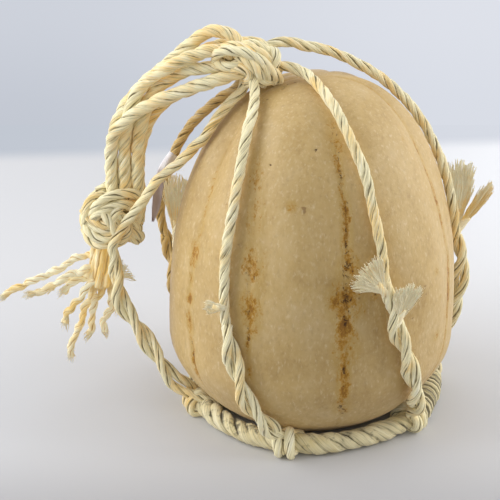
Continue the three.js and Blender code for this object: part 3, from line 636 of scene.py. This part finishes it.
def hair_block(line, radius, count, seed, age=0.0, reach=6.0):
    """Stray hairs standing off a rope: each starts on its surface and leans along and away from it."""
    draw = np.random.default_rng(seed)
    _, normal, binormal = frames_along(line)
    at = draw.integers(2, len(line) - 2, count)
    angle = draw.uniform(0, 2 * pi, count)[:, None]
    away = np.cos(angle) * normal[at] + np.sin(angle) * binormal[at]
    tangent = unit(np.gradient(line, axis=0))[at] * draw.choice([-1.0, 1.0], count)[:, None]
    start = line[at] + 0.85 * radius * away
    length = reach * draw.uniform(0.35, 1.0, (count, 1))
    end = start + length * (0.8 * tangent + 0.45 * away + 0.3 * draw.normal(size=(count, 3)))
    return fibre_block(start, end, length * tangent, 0.075, 5, seed + 1, age, frizz=0.5, tint=0.6)


# ------------------------------------------------------------------ shader nodes from expressions

class Wire:
    """A shader socket. Python's operators on it add Math nodes."""

    def __init__(self, paint, socket):
        self.paint, self.socket = paint, socket

    def math(self, operation, other):
        return self.paint.node("ShaderNodeMath", {"operation": operation}, {0: self, 1: other})

    def __add__(self, other):
        return self.math("ADD", other)

    def __sub__(self, other):
        return self.math("SUBTRACT", other)

    def __mul__(self, other):
        return self.math("MULTIPLY", other)


class Paint:
    """One material and the nodes that it is made of."""

    def __init__(self, name):
        self.material = bpy.data.materials.new(name)
        self.material.use_nodes = True
        self.tree = self.material.node_tree
        self.tree.nodes.clear()

    def node(self, kind, settings=None, sockets=None, output=0):
        """A node of a type: its settings first, then the values or links of its sockets."""
        made = self.tree.nodes.new(kind)
        for key, value in (settings or {}).items():
            setattr(made, key, value)
        for key, value in (sockets or {}).items():
            if isinstance(value, Wire):
                self.tree.links.new(value.socket, made.inputs[key])
            else:
                made.inputs[key].default_value = value
        return Wire(self, made.outputs[output])

    def value(self, attribute):
        return self.node("ShaderNodeAttribute", {"attribute_name": attribute}, output=2)

    def place(self, scale):
        """Object coordinates, stretched."""
        spot = self.node("ShaderNodeTexCoord", output=3)
        return self.node("ShaderNodeMapping", None, {"Vector": spot, "Scale": scale})

    def axis(self, number):
        """One of the object coordinates: 0 for x, 1 for y, 2 for z."""
        spot = self.node("ShaderNodeTexCoord", output=3)
        return self.node("ShaderNodeSeparateXYZ", None, {0: spot}, output=number)

    def along_fibres(self, scale):
        """The piece's own map, round and along its strands, stretched."""
        spot = self.node("ShaderNodeUVMap", {"uv_map": "fibre"})
        return self.node("ShaderNodeMapping", None, {"Vector": spot, "Scale": scale})

    def noise(self, vector, scale=1.0, detail=3.0, roughness=0.55, distortion=0.0):
        return self.node("ShaderNodeTexNoise", None, {
            "Vector": vector, "Scale": scale, "Detail": detail, "Roughness": roughness,
            "Distortion": distortion})

    def between(self, wire, low, high, to_low=0.0, to_high=1.0):
        """A smooth step of a value from low to high."""
        return self.node("ShaderNodeMapRange", {"interpolation_type": "SMOOTHSTEP"}, {
            0: wire, 1: low, 2: high, 3: to_low, 4: to_high})

    def mix(self, factor, first, second):
        return self.node("ShaderNodeMix", {"data_type": "RGBA", "clamp_factor": True}, {
            0: factor, 6: first, 7: second}, output=2)

    def layers(self, colour, rows):
        """Colours laid over one another: each row is a field, its range, a strength and the colour."""
        for field, low, high, strength, over in rows:
            colour = self.mix(self.between(field, low, high) * strength, colour, over)
        return colour

    def bump(self, height, strength, distance):
        return self.node("ShaderNodeBump", None, {
            "Height": height, "Strength": strength, "Distance": distance})

    def finish(self, colour, roughness, normal, **fixed):
        """Ends the material in one Principled shader; fixed values go on its own sockets."""
        sockets = {"Base Color": colour, "Roughness": roughness, "Normal": normal}
        sockets.update({key.replace("_", " "): value for key, value in fixed.items()})
        shader = self.node("ShaderNodeBsdfPrincipled", None, sockets)
        self.node_output(shader)
        return self.material

    def node_output(self, shader):
        made = self.tree.nodes.new("ShaderNodeOutputMaterial")
        self.tree.links.new(shader.socket, made.inputs["Surface"])


def shade(red, green, blue):
    """A linear colour from screen values 0 to 255."""
    screen = np.array([red, green, blue]) / 255
    linear = np.where(screen <= 0.04045, screen / 12.92, ((screen + 0.055) / 1.055) ** 2.4)
    return (*linear.tolist(), 1.0)


def rind_paint(settings):
    """Dried rind: mottled tan with fine upright streaks, orange and brown stains in the grooves."""
    p = Paint("cheese_rind")
    broad = p.noise(p.place((1, 1, 0.7)), 13, 4, 0.6)
    blotch = p.noise(p.place((1, 1, 0.8)), 42, 4, 0.6, 0.4)
    streak = p.noise(p.place((1, 1, 0.45)), 560, 3, 0.6)
    grain = p.noise(p.place((1, 1, 0.7)), 330, 4, 0.6)
    speck = p.noise(p.place((1, 1, 1)), 1100, 2, 0.5)
    colour = p.layers(tuple(settings.rind_colour) + (1.0,), [
        (broad, 0.35, 0.68, 0.8, shade(184, 153, 96)),
        (blotch, 0.45, 0.75, 0.4, shade(212, 188, 142)),
        (blotch, 0.48, 0.25, 0.4, shade(160, 128, 72)),
        (grain, 0.50, 0.75, 0.22, shade(220, 198, 152)),
        (grain, 0.50, 0.25, 0.25, shade(142, 110, 60)),
        (streak, 0.52, 0.78, 0.4, shade(232, 216, 178)),
    ])
    ragged = p.noise(p.place((1, 1, 0.6)), 130, 5, 0.75, 0.5)
    fine = p.noise(p.place((1, 1, 0.8)), 430, 3, 0.7, 0.3)
    broken = (ragged - 0.5) * 2.6 + (fine - 0.5) * 1.8
    stain = p.value("orange") + broken
    near = p.between(p.value("orange"), 0.04, 0.3)
    colour = p.mix(near * 0.3, colour, shade(180, 142, 48))
    orange = p.between(stain, 0.36, 0.82) * near
    colour = p.mix(orange * 0.9, colour, shade(176, 124, 14))
    colour = p.mix(p.between(stain, 0.68, 1.1) * near * 0.8, colour, shade(134, 86, 4))
    grit = p.noise(p.place((1, 1, 0.8)), 330, 3, 0.75, 0.6)
    pitted = p.between(p.value("brown") * 1.1 + (grit - 0.5) * 3.0, 0.45, 0.80)
    brown = pitted * p.between(p.value("brown"), 0.05, 0.25)
    colour = p.mix(brown * 0.9, colour, shade(70, 40, 12))
    dots = p.between(p.noise(p.place((1, 1, 1)), 120, 2, 0.5), 0.735, 0.79)
    colour = p.mix(dots * 0.6, colour, shade(120, 82, 36))
    rough = p.between(broad, 0.2, 0.8, 0.42, 0.6) + brown * 0.15 + (speck - 0.5) * 0.2
    height = streak * 0.35 + grain * 0.8 + speck * 0.25 - brown * 1.3 - orange * 0.25
    normal = p.bump(height, 0.34, 0.0009)
    return p.finish(colour, rough, normal, Specular_IOR_Level=0.4, Subsurface_Weight=0.06,
                    Subsurface_Radius=(0.006, 0.004, 0.002), Sheen_Weight=0.06)


def rope_paint(name, pale, bright, gold, crevice_shade_and_dark_streak, grime, grime_share, painted_glow, seam):
    """Laid plant fibre: fine hairs along each strand, golden patches, grime, painted shade down between the
    strands and a painted glow.
    """
    p = Paint(name)
    depth, tint, age, soil = p.value("depth"), p.value("tint"), p.value("age"), p.value("soil")
    hairs = p.noise(p.along_fibres((24, 60, 1)), 1, 3, 0.65)
    yarn = p.noise(p.along_fibres((8.5, 26, 1)), 1, 3, 0.6, 0.3)
    patch = p.noise(p.place((1, 1, 1)), 55, 3, 0.55)
    golden = p.between(patch + tint * 0.13 + age * 0.2 + (yarn - 0.5) * 0.5, 0.44, 0.80)
    colour = p.layers(p.mix(golden, pale, gold), [
        (yarn, 0.50, 0.70, 0.7, bright), (yarn, 0.47, 0.30, 0.5, crevice_shade_and_dark_streak),
        (hairs, 0.50, 0.72, 0.45, bright), (hairs, 0.50, 0.28, 0.5, crevice_shade_and_dark_streak),
    ])
    spoil = p.noise(p.place((1, 1, 1)), 190, 4, 0.65)
    spoil = spoil + depth * 0.2 + age * 0.1 + soil * (depth * 0.5 + 0.12) - (yarn - 0.5) * 0.5
    # Grime in noisy patches, then painted shade by depth, darkest down between the strands; the same dark
    # colour also marks the fibre streaks above.
    colour = p.layers(colour, [
        (spoil, 0.74 - grime_share, 0.98 - grime_share, 0.8, grime), (depth, seam, seam + 0.38, 0.9, crevice_shade_and_dark_streak),
    ])
    colour = p.mix(age * 0.45, colour, shade(126, 98, 52))
    rough = p.between(hairs, 0.3, 0.7, 0.66, 0.88)
    normal = p.bump(hairs * 0.6 + yarn * 1.0, 0.85, 0.0009)
    # Emission in the rope's own colour is a painted glow that brightens the fibres.
    return p.finish(colour, rough, normal, Specular_IOR_Level=0.3, Sheen_Weight=0.2, Sheen_Roughness=0.5,
                    Emission_Color=colour, Emission_Strength=painted_glow)


def tag_paint(settings):
    """Worn paper: off-white with a painted shade greying its lower end, soft creases and soiling."""
    p = Paint("tag_paper")
    cloud = p.noise(p.place((1, 1, 1)), 90, 4, 0.6)
    fibre = p.noise(p.place((1, 1, 0.5)), 900, 2, 0.6)
    colour = p.layers(tuple(settings.tag_colour) + (1.0,), [
        # Painted shade: grey-lilac below about 150 mm, where the tag hangs in shadow.
        (p.axis(2), 0.156, 0.148, 0.85, shade(176, 160, 164)),
        (cloud, 0.42, 0.72, 0.5, shade(205, 200, 206)), (fibre, 0.55, 0.8, 0.3, shade(150, 140, 140)),
    ])
    normal = p.bump(cloud * 0.8 + fibre * 0.3, 0.4, 0.0006)
    return p.finish(colour, p.between(cloud, 0.3, 0.7, 0.65, 0.85), normal, Specular_IOR_Level=0.3)


# ------------------------------------------------------------------ settings

def colour_setting(name, description, default):
    """A colour that the panel shows."""
    return bpy.props.FloatVectorProperty(
        name=name, description=description, subtype="COLOR", size=3, min=0, max=1, default=default[:3])


def power_setting(name, description, default):
    """A light's power that the panel shows."""
    return bpy.props.FloatProperty(
        name=name, description=description, subtype="POWER", unit="POWER", min=0, max=200, default=default)


class CheeseSettings(bpy.types.PropertyGroup):
    """Finish of the cheese."""

    rind_colour: colour_setting("Rind colour", "Main colour of the dried rind", shade(199, 168, 108))
    relief: bpy.props.FloatProperty(
        name="Relief", description="Strength of the slow lumps in the rind", default=1.0, min=0, max=3)
    columns: bpy.props.IntProperty(
        name="Columns", description="Steps round the cheese", default=420, min=60, max=450)


class RopeSettings(bpy.types.PropertyGroup):
    """Finish of the sling's ropes."""

    rope_colour: colour_setting("Rope colour", "Pale colour of legs and tail", shade(250, 238, 190))
    ring_colour: colour_setting("Ring colour", "Pale colour of the ring", shade(222, 208, 162))
    rope_diameter: bpy.props.FloatProperty(
        name="Rope diameter", description="Across a leg or a rope of the tail", subtype="DISTANCE",
        unit="LENGTH", default=2 * ROPE_RADIUS * MM, min=0.004, max=0.012)
    lay_length: bpy.props.FloatProperty(
        name="Lay length", description="Rope length in which a strand goes round once", subtype="DISTANCE",
        unit="LENGTH", default=ROPE_LAY * MM, min=0.01, max=0.08)
    tag_colour: colour_setting("Tag colour", "Colour of the bare paper tag", shade(240, 239, 244))


class StageSettings(bpy.types.PropertyGroup):
    """Plain floor, light and camera."""

    key_power: power_setting("Side light", "Power of the two soft side lights", 15.0)
    top_power: power_setting("Top light", "Power of the soft light overhead", 2.2)
    lens: bpy.props.FloatProperty(
        name="Lens", description="Focal length of the camera", subtype="DISTANCE_CAMERA", unit="CAMERA",
        default=112.26, min=20, max=300)


def rope_finishes():
    """The three rope materials, made once: leg rope, ring rope and loose fibre."""
    made = bpy.data.materials
    if "laid_leg_rope" not in made:
        s = bpy.context.scene.sling_ropes
        pale, ring = tuple(s.rope_colour) + (1.0,), tuple(s.ring_colour) + (1.0,)
        # After the name: pale, bright streaks, golden patches, painted shade in the crevices (also the dark
        # streaks), grime, grime share, painted glow strength and the depth where the painted shade begins.
        rope_paint("laid_leg_rope", pale, shade(255, 250, 224), shade(250, 212, 130), shade(118, 102, 54),
                   shade(108, 95, 60), 0.03, 0.045, 0.22)
        rope_paint("laid_ring_rope", ring, shade(240, 232, 196), shade(214, 194, 132), shade(70, 60, 34),
                   shade(56, 50, 38), 0.15, 0.04, 0.06)
        rope_paint("unlaid_fibre", shade(243, 233, 196), shade(250, 246, 222), shade(238, 200, 112),
                   shade(196, 160, 88), shade(160, 136, 86), -0.04, 0.2, 0.22)
    return made["laid_leg_rope"], made["laid_ring_rope"], made["unlaid_fibre"]


# ------------------------------------------------------------------ pieces

class SLING_OT_stage(bpy.types.Operator):
    """Camera, plain floor, backdrop and soft lights"""

    bl_idname = "sling.stage"
    bl_label = "Stage"

    def execute(self, context):
        s = context.scene.sling_stage
        camera = bpy.data.cameras.new("view")
        camera.lens, camera.sensor_width = s.lens, SENSOR
        holder = bpy.data.objects.new("view", camera)
        holder.location = CAMERA_PLACE
        holder.rotation_euler = (CAMERA_TILT, 0, 0)
        context.scene.collection.objects.link(holder)
        context.scene.camera = holder
        context.scene.view_settings.view_transform = "Standard"
        floor = plane("floor", FLOOR, floor_paint())
        wall = plane("backdrop", BACKDROP, sky_paint())
        world = bpy.data.worlds.new("room")
        world.use_nodes = True
        world.node_tree.nodes["Background"].inputs["Color"].default_value = shade(226, 230, 240)
        world.node_tree.nodes["Background"].inputs["Strength"].default_value = ROOM_LIGHT
        context.scene.world = world
        for box, power in zip(SOFTBOXES, (s.key_power, RIGHT_SHARE * s.key_power, s.top_power)):
            lamp(*box, power)
        return {"FINISHED"}


def plane(name, corners, paint):
    """One flat face through four corners."""
    mesh = bpy.data.meshes.new(name)
    mesh.from_pydata(corners, [], [(0, 1, 2, 3)])
    mesh.materials.append(paint)
    made = bpy.data.objects.new(name, mesh)
    bpy.context.scene.collection.objects.link(made)
    return made


def floor_paint():
    """A matt pale table, painted darker towards the front and lighter on the right as painted shade and
    light, whose far edge glows in the backdrop's colours and so melts into it.
    """
    p = Paint("floor_paint")
    grain = p.noise(p.place((1, 1, 1)), 300, 2, 0.5)
    across, away = p.axis(0), p.axis(1)
    # Painted shade towards the front and painted light on the right stand in for how the lamps fall on the
    # table.
    tone = p.mix(p.between(away, -0.17, -0.06), shade(170, 168, 167), shade(203, 202, 201))
    right = p.between(across, -0.1, 0.3) * p.between(away, -0.16, 0.5)
    tone = p.mix(right * 0.8, tone, shade(238, 238, 238))
    table = p.node("ShaderNodeBsdfPrincipled", None, {
        "Base Color": tone, "Roughness": 0.6, "Specular IOR Level": 0.3,
        "Normal": p.bump(grain, 0.05, 0.0005)})
    # Painted light: the far strip of the table glows in the backdrop's colours.
    hue = p.mix(p.between(across, -0.3, 0.25), shade(194, 200, 210), shade(216, 220, 229))
    far = p.node("ShaderNodeEmission", None, {"Color": hue, "Strength": 1.0})
    melted = p.between(away - across * 0.083, 0.470, 0.513)
    p.node_output(p.node("ShaderNodeMixShader", None, {0: melted, 1: table, 2: far}))
    return p.material


def sky_paint():
    """A backdrop that shines evenly, blue-grey low on the left to near white on the right and above."""
    p = Paint("backdrop_paint")
    side, rising = p.between(p.axis(0), -0.55, 0.45), p.between(p.axis(2), -0.60, -0.30)
    low = p.mix(side, shade(195, 200, 210), shade(217, 221, 230))
    high = p.mix(side, shade(209, 213, 222), shade(224, 227, 235))
    colour = p.mix(rising * 0.75, low, high)
    p.node_output(p.node("ShaderNodeEmission", None, {"Color": colour, "Strength": 1.0}))
    return p.material


def lamp(name, place, target, width, height, colour, power):
    """A soft rectangular light aimed at a point."""
    light = bpy.data.lights.new(name, "AREA")
    light.shape, light.size, light.size_y = "RECTANGLE", width, height
    light.energy, light.color = power, colour
    holder = bpy.data.objects.new(name, light)
    holder.location = place
    direction = Vector(target) - Vector(place)
    holder.rotation_euler = direction.to_track_quat("-Z", "Y").to_euler()
    bpy.context.scene.collection.objects.link(holder)


class SLING_OT_cheese(bpy.types.Operator):
    """The grooved ball of cheese with its stained rind"""

    bl_idname = "sling.cheese"
    bl_label = "Cheese"

    def execute(self, context):
        s = context.scene.sling_cheese
        points, orange, brown = cheese_surface(s.columns, s.relief)
        along = np.linspace(0, 1, len(points))
        block = tube_block(points[None], along, orange=orange[None], brown=brown[None])
        piece = mesh_piece("cheese_body", [block], rind_paint(s))
        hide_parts("cheese")
        return {"FINISHED"}


class SLING_OT_ring(bpy.types.Operator):
    """The thick rope ring round the cheese's foot, with its fine whipping"""

    bl_idname = "sling.ring"
    bl_label = "Base ring"

    def execute(self, context):
        line = smooth_path(RING_ROUTE, 1.5)
        first, last = (int(share * len(line)) for share in WHIPPED)
        blocks = [rope_block(line, RING_RADIUS, RING_LAY, seed=21, soiled=1.0),
                  hair_block(line, RING_RADIUS, 60, 22, reach=8),
                  coil_block(line[first:last], RING_RADIUS + 0.8, WHIPPING_YARN, WHIPPING_PITCH, seed=23)]
        piece = mesh_piece("base_ring_rope", blocks, rope_finishes()[1])
        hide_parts("base_ring")
        return {"FINISHED"}


def coil_block(line, radius, thick, pitch, seed):
    """A yarn wound round a line: P + R (cos w N + sin w B), w = 2 pi s / pitch, a round section on it."""
    run = run_of(line)
    at = np.linspace(0, run[-1], int(run[-1] / pitch * 14))
    _, normal, binormal = frames_along(line)
    point, n, b = (np.stack([np.interp(at, run, values[:, axis]) for axis in range(3)], 1)
                   for values in (line, normal, binormal))
    w = 2 * pi * at[:, None] / pitch
    uneven = (radius + 0.25 * wander(at, seed, longest=23))[:, None]
    round_line = point + uneven * (np.cos(w) * unit(n) + np.sin(w) * unit(b))
    round_line[:, 2] = np.maximum(round_line[:, 2], thick * 0.9)
    _, side, other = frames_along(round_line)
    f = 2 * pi * np.arange(8)[:, None] / 8
    grid = round_line[:, None] + thick * (np.cos(f) * side[:, None] + np.sin(f) * other[:, None])
    # Depth of up to 0.42 on two opposite sides of the yarn paints shade there.
    depth = 0.42 * np.sin(f[:, 0]) ** 2 + 0 * at[:, None]
    tint = 0.3 * wander(at, seed + 2, longest=50)[:, None]
    return tube_block(grid[None], run_of(round_line) * MM, depth=depth[None], tint=tint[None],
                      age=np.zeros((1, 1, 1)))


def leg_line(route, splice_from):
    """A leg's rope from the crown knot down, round the ring and back up wound round itself.

    Where the rope lies double, each half is P +- q (cos w N + sin w B), w = 2 pi s / pitch; both halves
    are joined by a loop round the ring.
    """
    raw = smooth_path(route, ROUGH_STEP)
    share = run_of(raw) / run_of(raw)[-1]
    double = np.clip((share - splice_from) / SPLICE_OPENS, 0, 1)
    spread = double * double * (3 - 2 * double)
    pair = off_cheese(raw, ROPE_RADIUS + STANDOFF + 1.9 * spread)
    _, normal, binormal = frames_along(pair)
    run = run_of(pair)
    w = (2 * pi * (run - run[-1]) / SPLICE_PITCH + SPLICE_ANGLE)[:, None]
    throw = SPLICE_THROW * spread[:, None] * (np.cos(w) * normal + np.sin(w) * binormal)
    foot = np.array(route[-1], float)
    out = unit(np.array([foot[0], foot[1], 0.0]))
    side = np.array([-out[1], out[0], 0.0])
    up = np.array([0, 0, 1.0])
    above = pair[:, 2] > LOOP_TOP
    down = (pair + throw)[above]
    back = (pair - throw)[above & (share > splice_from)][::-1]
    turn = np.radians(np.linspace(*LOOP_TURN, LOOP_POINTS))[:, None]
    aside = np.linspace(-LOOP_SIDE, LOOP_SIDE, LOOP_POINTS)[:, None] * side
    loop = foot + LOOP_OUT * np.cos(turn) * out + LOOP_UP * np.sin(turn) * up + aside
    loop[:, 2] = np.maximum(loop[:, 2], LOOP_LEAST)
    whole = np.concatenate([down[::2], loop, back[::2]])
    return smooth_path(off_cheese(whole, PLY_RADIUS + 0.1), PATH_STEP)


class SLING_OT_legs(bpy.types.Operator):
    """The six legs, each one rope that goes round the ring and back up itself"""

    bl_idname = "sling.legs"
    bl_label = "Legs"

    def execute(self, context):
        s = context.scene.sling_ropes
        radius, lay = LEG_SHARE * s.rope_diameter / 2 / MM, s.lay_length / MM
        for number, (name, splice_from, age, route) in enumerate(LEGS):
            line = leg_line(route, splice_from)
            run = run_of(line)
            upper = run_of(smooth_path(route, ROUGH_STEP))[-1] * splice_from
            slim = np.interp(run, [upper - 8, upper + 10], [radius, PLY_RADIUS])
            slim = np.where(line[:, 2] < 17, np.maximum(slim, 1.05 * radius), slim)
            slack = np.interp(run, [upper - 8, upper + 30], [lay, 1.35 * lay])
            seed = 100 + 10 * number
            blocks = [rope_block(line, slim, slack, seed=seed, age=age, gold=1.2 * age, phase=number),
                      hair_block(line, radius, 46, seed + 4, age)]
            piece = mesh_piece(f"leg_rope_{name}", blocks, rope_finishes()[0])
            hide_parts(f"leg_{name}", f"leg_{name}_splice")
        return {"FINISHED"}


def fan_block(base, tip, half_width, thickness, count, seed, age, tint, front):
    """A fan of fibres: starts gathered round the base, ends spread across the tip."""
    draw = np.random.default_rng(seed)
    along = unit(tip - base)
    length = np.linalg.norm(tip - base)
    side = unit(np.cross(along, np.array([0.0, -1.0, 0.0] if front else [base[0], base[1], 0.0])))
    facing = np.cross(side, along)
    u = draw.uniform(-1, 1, (count, 1))
    v = draw.uniform(-1, 1, (count, 1))
    start = base + 1.3 * u * side + 1.1 * v * facing - along * draw.uniform(2, 6, (count, 1))
    end = (tip + half_width * u * side + 0.5 * thickness * v * facing
           + along * length * (draw.uniform(-0.30, 0.06, (count, 1)) - 0.10 * u * u)
           + 0.5 * draw.normal(size=(count, 3)))
    bow = along * length * 0.8 + 0 * start
    return fibre_block(start, end, bow, 0.5, 8, seed + 1, age, 0.5, 0.5, tint)


class SLING_OT_frays(bpy.types.Operator):
    """The fans of loose fibre where the legs' ends come out of the winding"""

    bl_idname = "sling.frays"
    bl_label = "Frayed ends"

    def execute(self, context):
        for number, (name, base, tip, half_width, thickness, count, gold, front, stub) in enumerate(FRAYS):
            base, tip = np.array(base, float), np.array(tip, float)
            seed = 300 + 10 * number
            age, tint = 0.1 * gold, 2.2 * gold - 0.8
            fan = fan_block(base, tip, half_width, thickness, count, seed, age, tint, front)
            fan["points"] = off_cheese(fan["points"], 0.3)
            blocks = [fan]
            if stub:
                reach = tip - base
                line = evenly(np.array([base - 0.25 * reach, base, base + 0.3 * reach]), 1.2)
                blocks.append(rope_block(line, 3.0, 22, seed=seed + 6, age=0.3 * gold))
            piece = mesh_piece(f"frayed_end_{name}", blocks, rope_finishes()[2])
            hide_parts(f"fray_{name}")
        return {"FINISHED"}


class SLING_OT_handle(bpy.types.Operator):
    """The six ropes of the hanging tail, and the two knots that hold them"""

    bl_idname = "sling.handle"
    bl_label = "Hanging tail"

    def execute(self, context):
        s = context.scene.sling_ropes
        radius, lay = s.rope_diameter / 2 / MM, s.lay_length / MM
        paint = rope_finishes()[0]
        crown = knot("crown_knot", TOP_KNOT_ROPES, CROWN_KNOT, radius, lay, 500, paint)
        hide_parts("top_knot")
        stopper = knot("stopper_knot", END_KNOT_ROPES, STOPPER_KNOT, radius, lay, 600, paint)
        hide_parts("end_knot")
        skirt = skirt_piece()
        for number, route in enumerate(HANDLE_ROUTES):
            line = smooth_path(route, PATH_STEP)
            seed = 400 + 10 * number
            blocks = [rope_block(line, TAIL_SHARE * radius, lay, seed=seed, gold=TAIL_GOLD[number],
                                 phase=1.7 * number),
                      hair_block(line, radius, 30, seed + 4, reach=3.4)]
            piece = mesh_piece(f"tail_rope_{number + 1}", blocks, paint)
            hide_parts(f"handle_rope_{number + 1}")
        return {"FINISHED"}


def knot(name, ropes, core, radius, lay, seed, paint):
    """Ropes that cross over a core of packed strands, an ellipsoid with five low ribs painted all in shade.
    """
    share, centre, semi = core
    blocks = []
    for number, route in enumerate(ropes):
        line = smooth_path(route, PATH_STEP)
        blocks.append(rope_block(line, share * radius, lay, seed=seed + 7 * number, phase=0.8 * number,
                                 gold=0.3 * (number % 4)))
        blocks.append(hair_block(line, share * radius, 8, seed + 7 * number + 3))
    t = np.linspace(0, pi, 26)[:, None]
    f = 2 * pi * np.arange(30) / 30
    bulge = 1 + 0.06 * np.cos(5 * f + 3 * t)
    ball = np.stack([np.cos(t) + 0 * f, np.sin(t) * np.cos(f) * bulge, np.sin(t) * np.sin(f) * bulge], -1)
    ball = np.array(centre) + ball[1:-1][::-1] * np.array(semi)
    flat = np.zeros((1, 1, 1))
    # Depth 1 paints the whole core in the painted shade colour.
    blocks.append(tube_block(ball[None], np.linspace(0, 0.03, 24), depth=1 + flat, tint=flat, age=flat))
    return mesh_piece(name, blocks, paint)


def skirt_piece():
    """The bunch of loose golden fibre under the stopper knot."""
    draw = np.random.default_rng(700)
    line = smooth_path(SKIRT_LINE, 1.0)
    count = 420
    angle = draw.uniform(0, 2 * pi, (count, 1))
    ring = np.concatenate([np.cos(angle), 0.8 * np.sin(angle), 0 * angle], axis=1)
    rim = draw.uniform(0.35, 1.0, (count, 1)) ** 0.5
    start = line[0] + 7.0 * rim * ring + [0, 0, 3]
    end = line[-1] + 8.8 * rim * ring + draw.normal(size=(count, 3)) * [0.6, 0.6, 3.0]
    bow = (line[8] - line[0]) * 2.2 + 0 * start
    loose = fibre_block(start, end, bow, 0.6, 8, 701, 0.0, 0.5, 0.6, 2.0)
    strands = []
    for number, a in enumerate(np.linspace(0, 2 * pi, 7, endpoint=False)):
        round_it = np.array([np.cos(a), np.sin(a), 0])
        route = [line[0] + round_it * [4, 3, 0] + [0, 0, 2], line[10] + round_it * [5.5, 4.5, 0],
                 line[-2] + round_it * [6.5, 5.5, 0]]
        strands.append(rope_block(smooth_path(route, PATH_STEP), 3.9, 120, seed=710 + number, gold=1.6))
    piece = mesh_piece("fibre_bunch", [loose, *strands], rope_finishes()[2])
    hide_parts("fibre_skirt")
    return piece


def crinkled(line, seed):
    """A line pushed sideways by smooth noise that grows from nothing over its first centimetre."""
    run = run_of(line)
    _, normal, binormal = frames_along(line)
    grow = 0.75 * np.clip(run / 10, 0, 1)
    sideways = [grow * wander(run, seed + k, waves=3, longest=26) for k in (0, 1)]
    return evenly(line + sideways[0][:, None] * normal + sideways[1][:, None] * binormal, 1.0)


class SLING_OT_tails(bpy.types.Operator):
    """The nine loose strand ends under the stopper knot"""

    bl_idname = "sling.tails"
    bl_label = "Loose ends"

    def execute(self, context):
        for number, route in enumerate(TAIL_ROUTES):
            line = crinkled(smooth_path(route, 1.0), 820 + 3 * number)
            run = run_of(line)
            seed, count = 800 + 10 * number, 60
            draw = np.random.default_rng(seed)
            slim = np.interp(run, [0, run[-1] - 10, run[-1] - 3, run[-1]], [1.1, 1.0, 0.9, 0.55])
            slim = TAIL_RADIUS * slim * (1 + 0.10 * wander(run, 840 + number, waves=3, longest=16))
            at = np.full(count, np.searchsorted(run, run[-1] - 9))
            away = unit(draw.normal(size=(count, 3)))
            along = unit(line[-1] - line[-4])
            start = line[at] + 1.6 * away
            spread = 3.4 * away * draw.uniform(0.3, 1.0, (count, 1))
            end = line[-1] + spread + along * draw.uniform(-4, 1.5, (count, 1))
            blocks = [rope_block(line[:-3], slim[:-3], TAIL_LAY, sides=12, seed=seed + 3, gold=0.6,
                                 phase=number),
                      fibre_block(start, end, along * 8 + 0 * start, 0.3, 6, seed + 5, 0.0, 0.4, 0.4, 0.5),
                      hair_block(line[:-3], TAIL_RADIUS, 16, seed + 7, reach=2.2)]
            piece = mesh_piece(f"loose_end_{number + 1}", blocks, rope_finishes()[2])
            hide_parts(f"tail_{number + 1}")
        return {"FINISHED"}


class SLING_OT_tag(bpy.types.Operator):
    """The bare folded paper tag on the back left leg"""

    bl_idname = "sling.tag"
    bl_label = "Paper tag"

    def execute(self, context):
        line = smooth_path(TAG_MIDLINE, 1.6)
        run = run_of(line)
        width = np.interp(run / run[-1], np.linspace(0, 1, len(TAG_WIDTHS)), TAG_WIDTHS)
        tangent = unit(np.gradient(line, axis=0))
        side = unit(np.cross(tangent, np.array([0.15, -1.0, 0.1])))
        facing = np.cross(side, tangent)
        u = np.linspace(-1, 1, 11)
        curl = TAG_CURL * (1 - u**2) * np.cos(run / 17)[:, None] + 0.5 * np.sin(3 * u + run[:, None] / 6)
        front = (line[:, None] + (width / 2)[:, None, None] * u[:, None] * side[:, None]
                 + curl[..., None] * facing[:, None])
        back = (front - TAG_THICKNESS * facing[:, None])[:, ::-1]
        block = tube_block(np.concatenate([front, back], axis=1)[None], run * MM)
        piece = mesh_piece("tag", [block], tag_paint(context.scene.sling_ropes))
        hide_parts("paper_tag")
        return {"FINISHED"}


GROUPS = {"sling_cheese": CheeseSettings, "sling_ropes": RopeSettings, "sling_stage": StageSettings}
PIECES = (SLING_OT_stage, SLING_OT_handle, SLING_OT_tails, SLING_OT_cheese, SLING_OT_ring, SLING_OT_legs,
          SLING_OT_frays, SLING_OT_tag)


class SLING_PT_panel(bpy.types.Panel):
    """Lists the pieces and their settings"""

    bl_idname = "SLING_PT_panel"
    bl_label = "Cheese in a rope sling"
    bl_space_type = "VIEW_3D"
    bl_region_type = "UI"
    bl_category = "Cheese"

    def draw(self, context):
        for group, settings in GROUPS.items():
            box = self.layout.box()
            for name in settings.__annotations__:
                box.prop(getattr(context.scene, group), name)
        for piece in PIECES:
            self.layout.operator(piece.bl_idname)


CLASSES = (*GROUPS.values(), *PIECES, SLING_PT_panel)


def register():
    for kind in CLASSES:
        bpy.utils.register_class(kind)
    for name, kind in GROUPS.items():
        setattr(bpy.types.Scene, name, bpy.props.PointerProperty(type=kind))


def unregister():
    for name in GROUPS:
        delattr(bpy.types.Scene, name)
    for kind in reversed(CLASSES):
        bpy.utils.unregister_class(kind)


def main():
    register()
    bpy.ops.sling.stage()
    bpy.ops.sling.handle()
    bpy.ops.sling.tails()
    bpy.ops.sling.cheese()
    bpy.ops.sling.ring()
    bpy.ops.sling.legs()
    bpy.ops.sling.frays()
    bpy.ops.sling.tag()


if __name__ == "__main__":
    main()
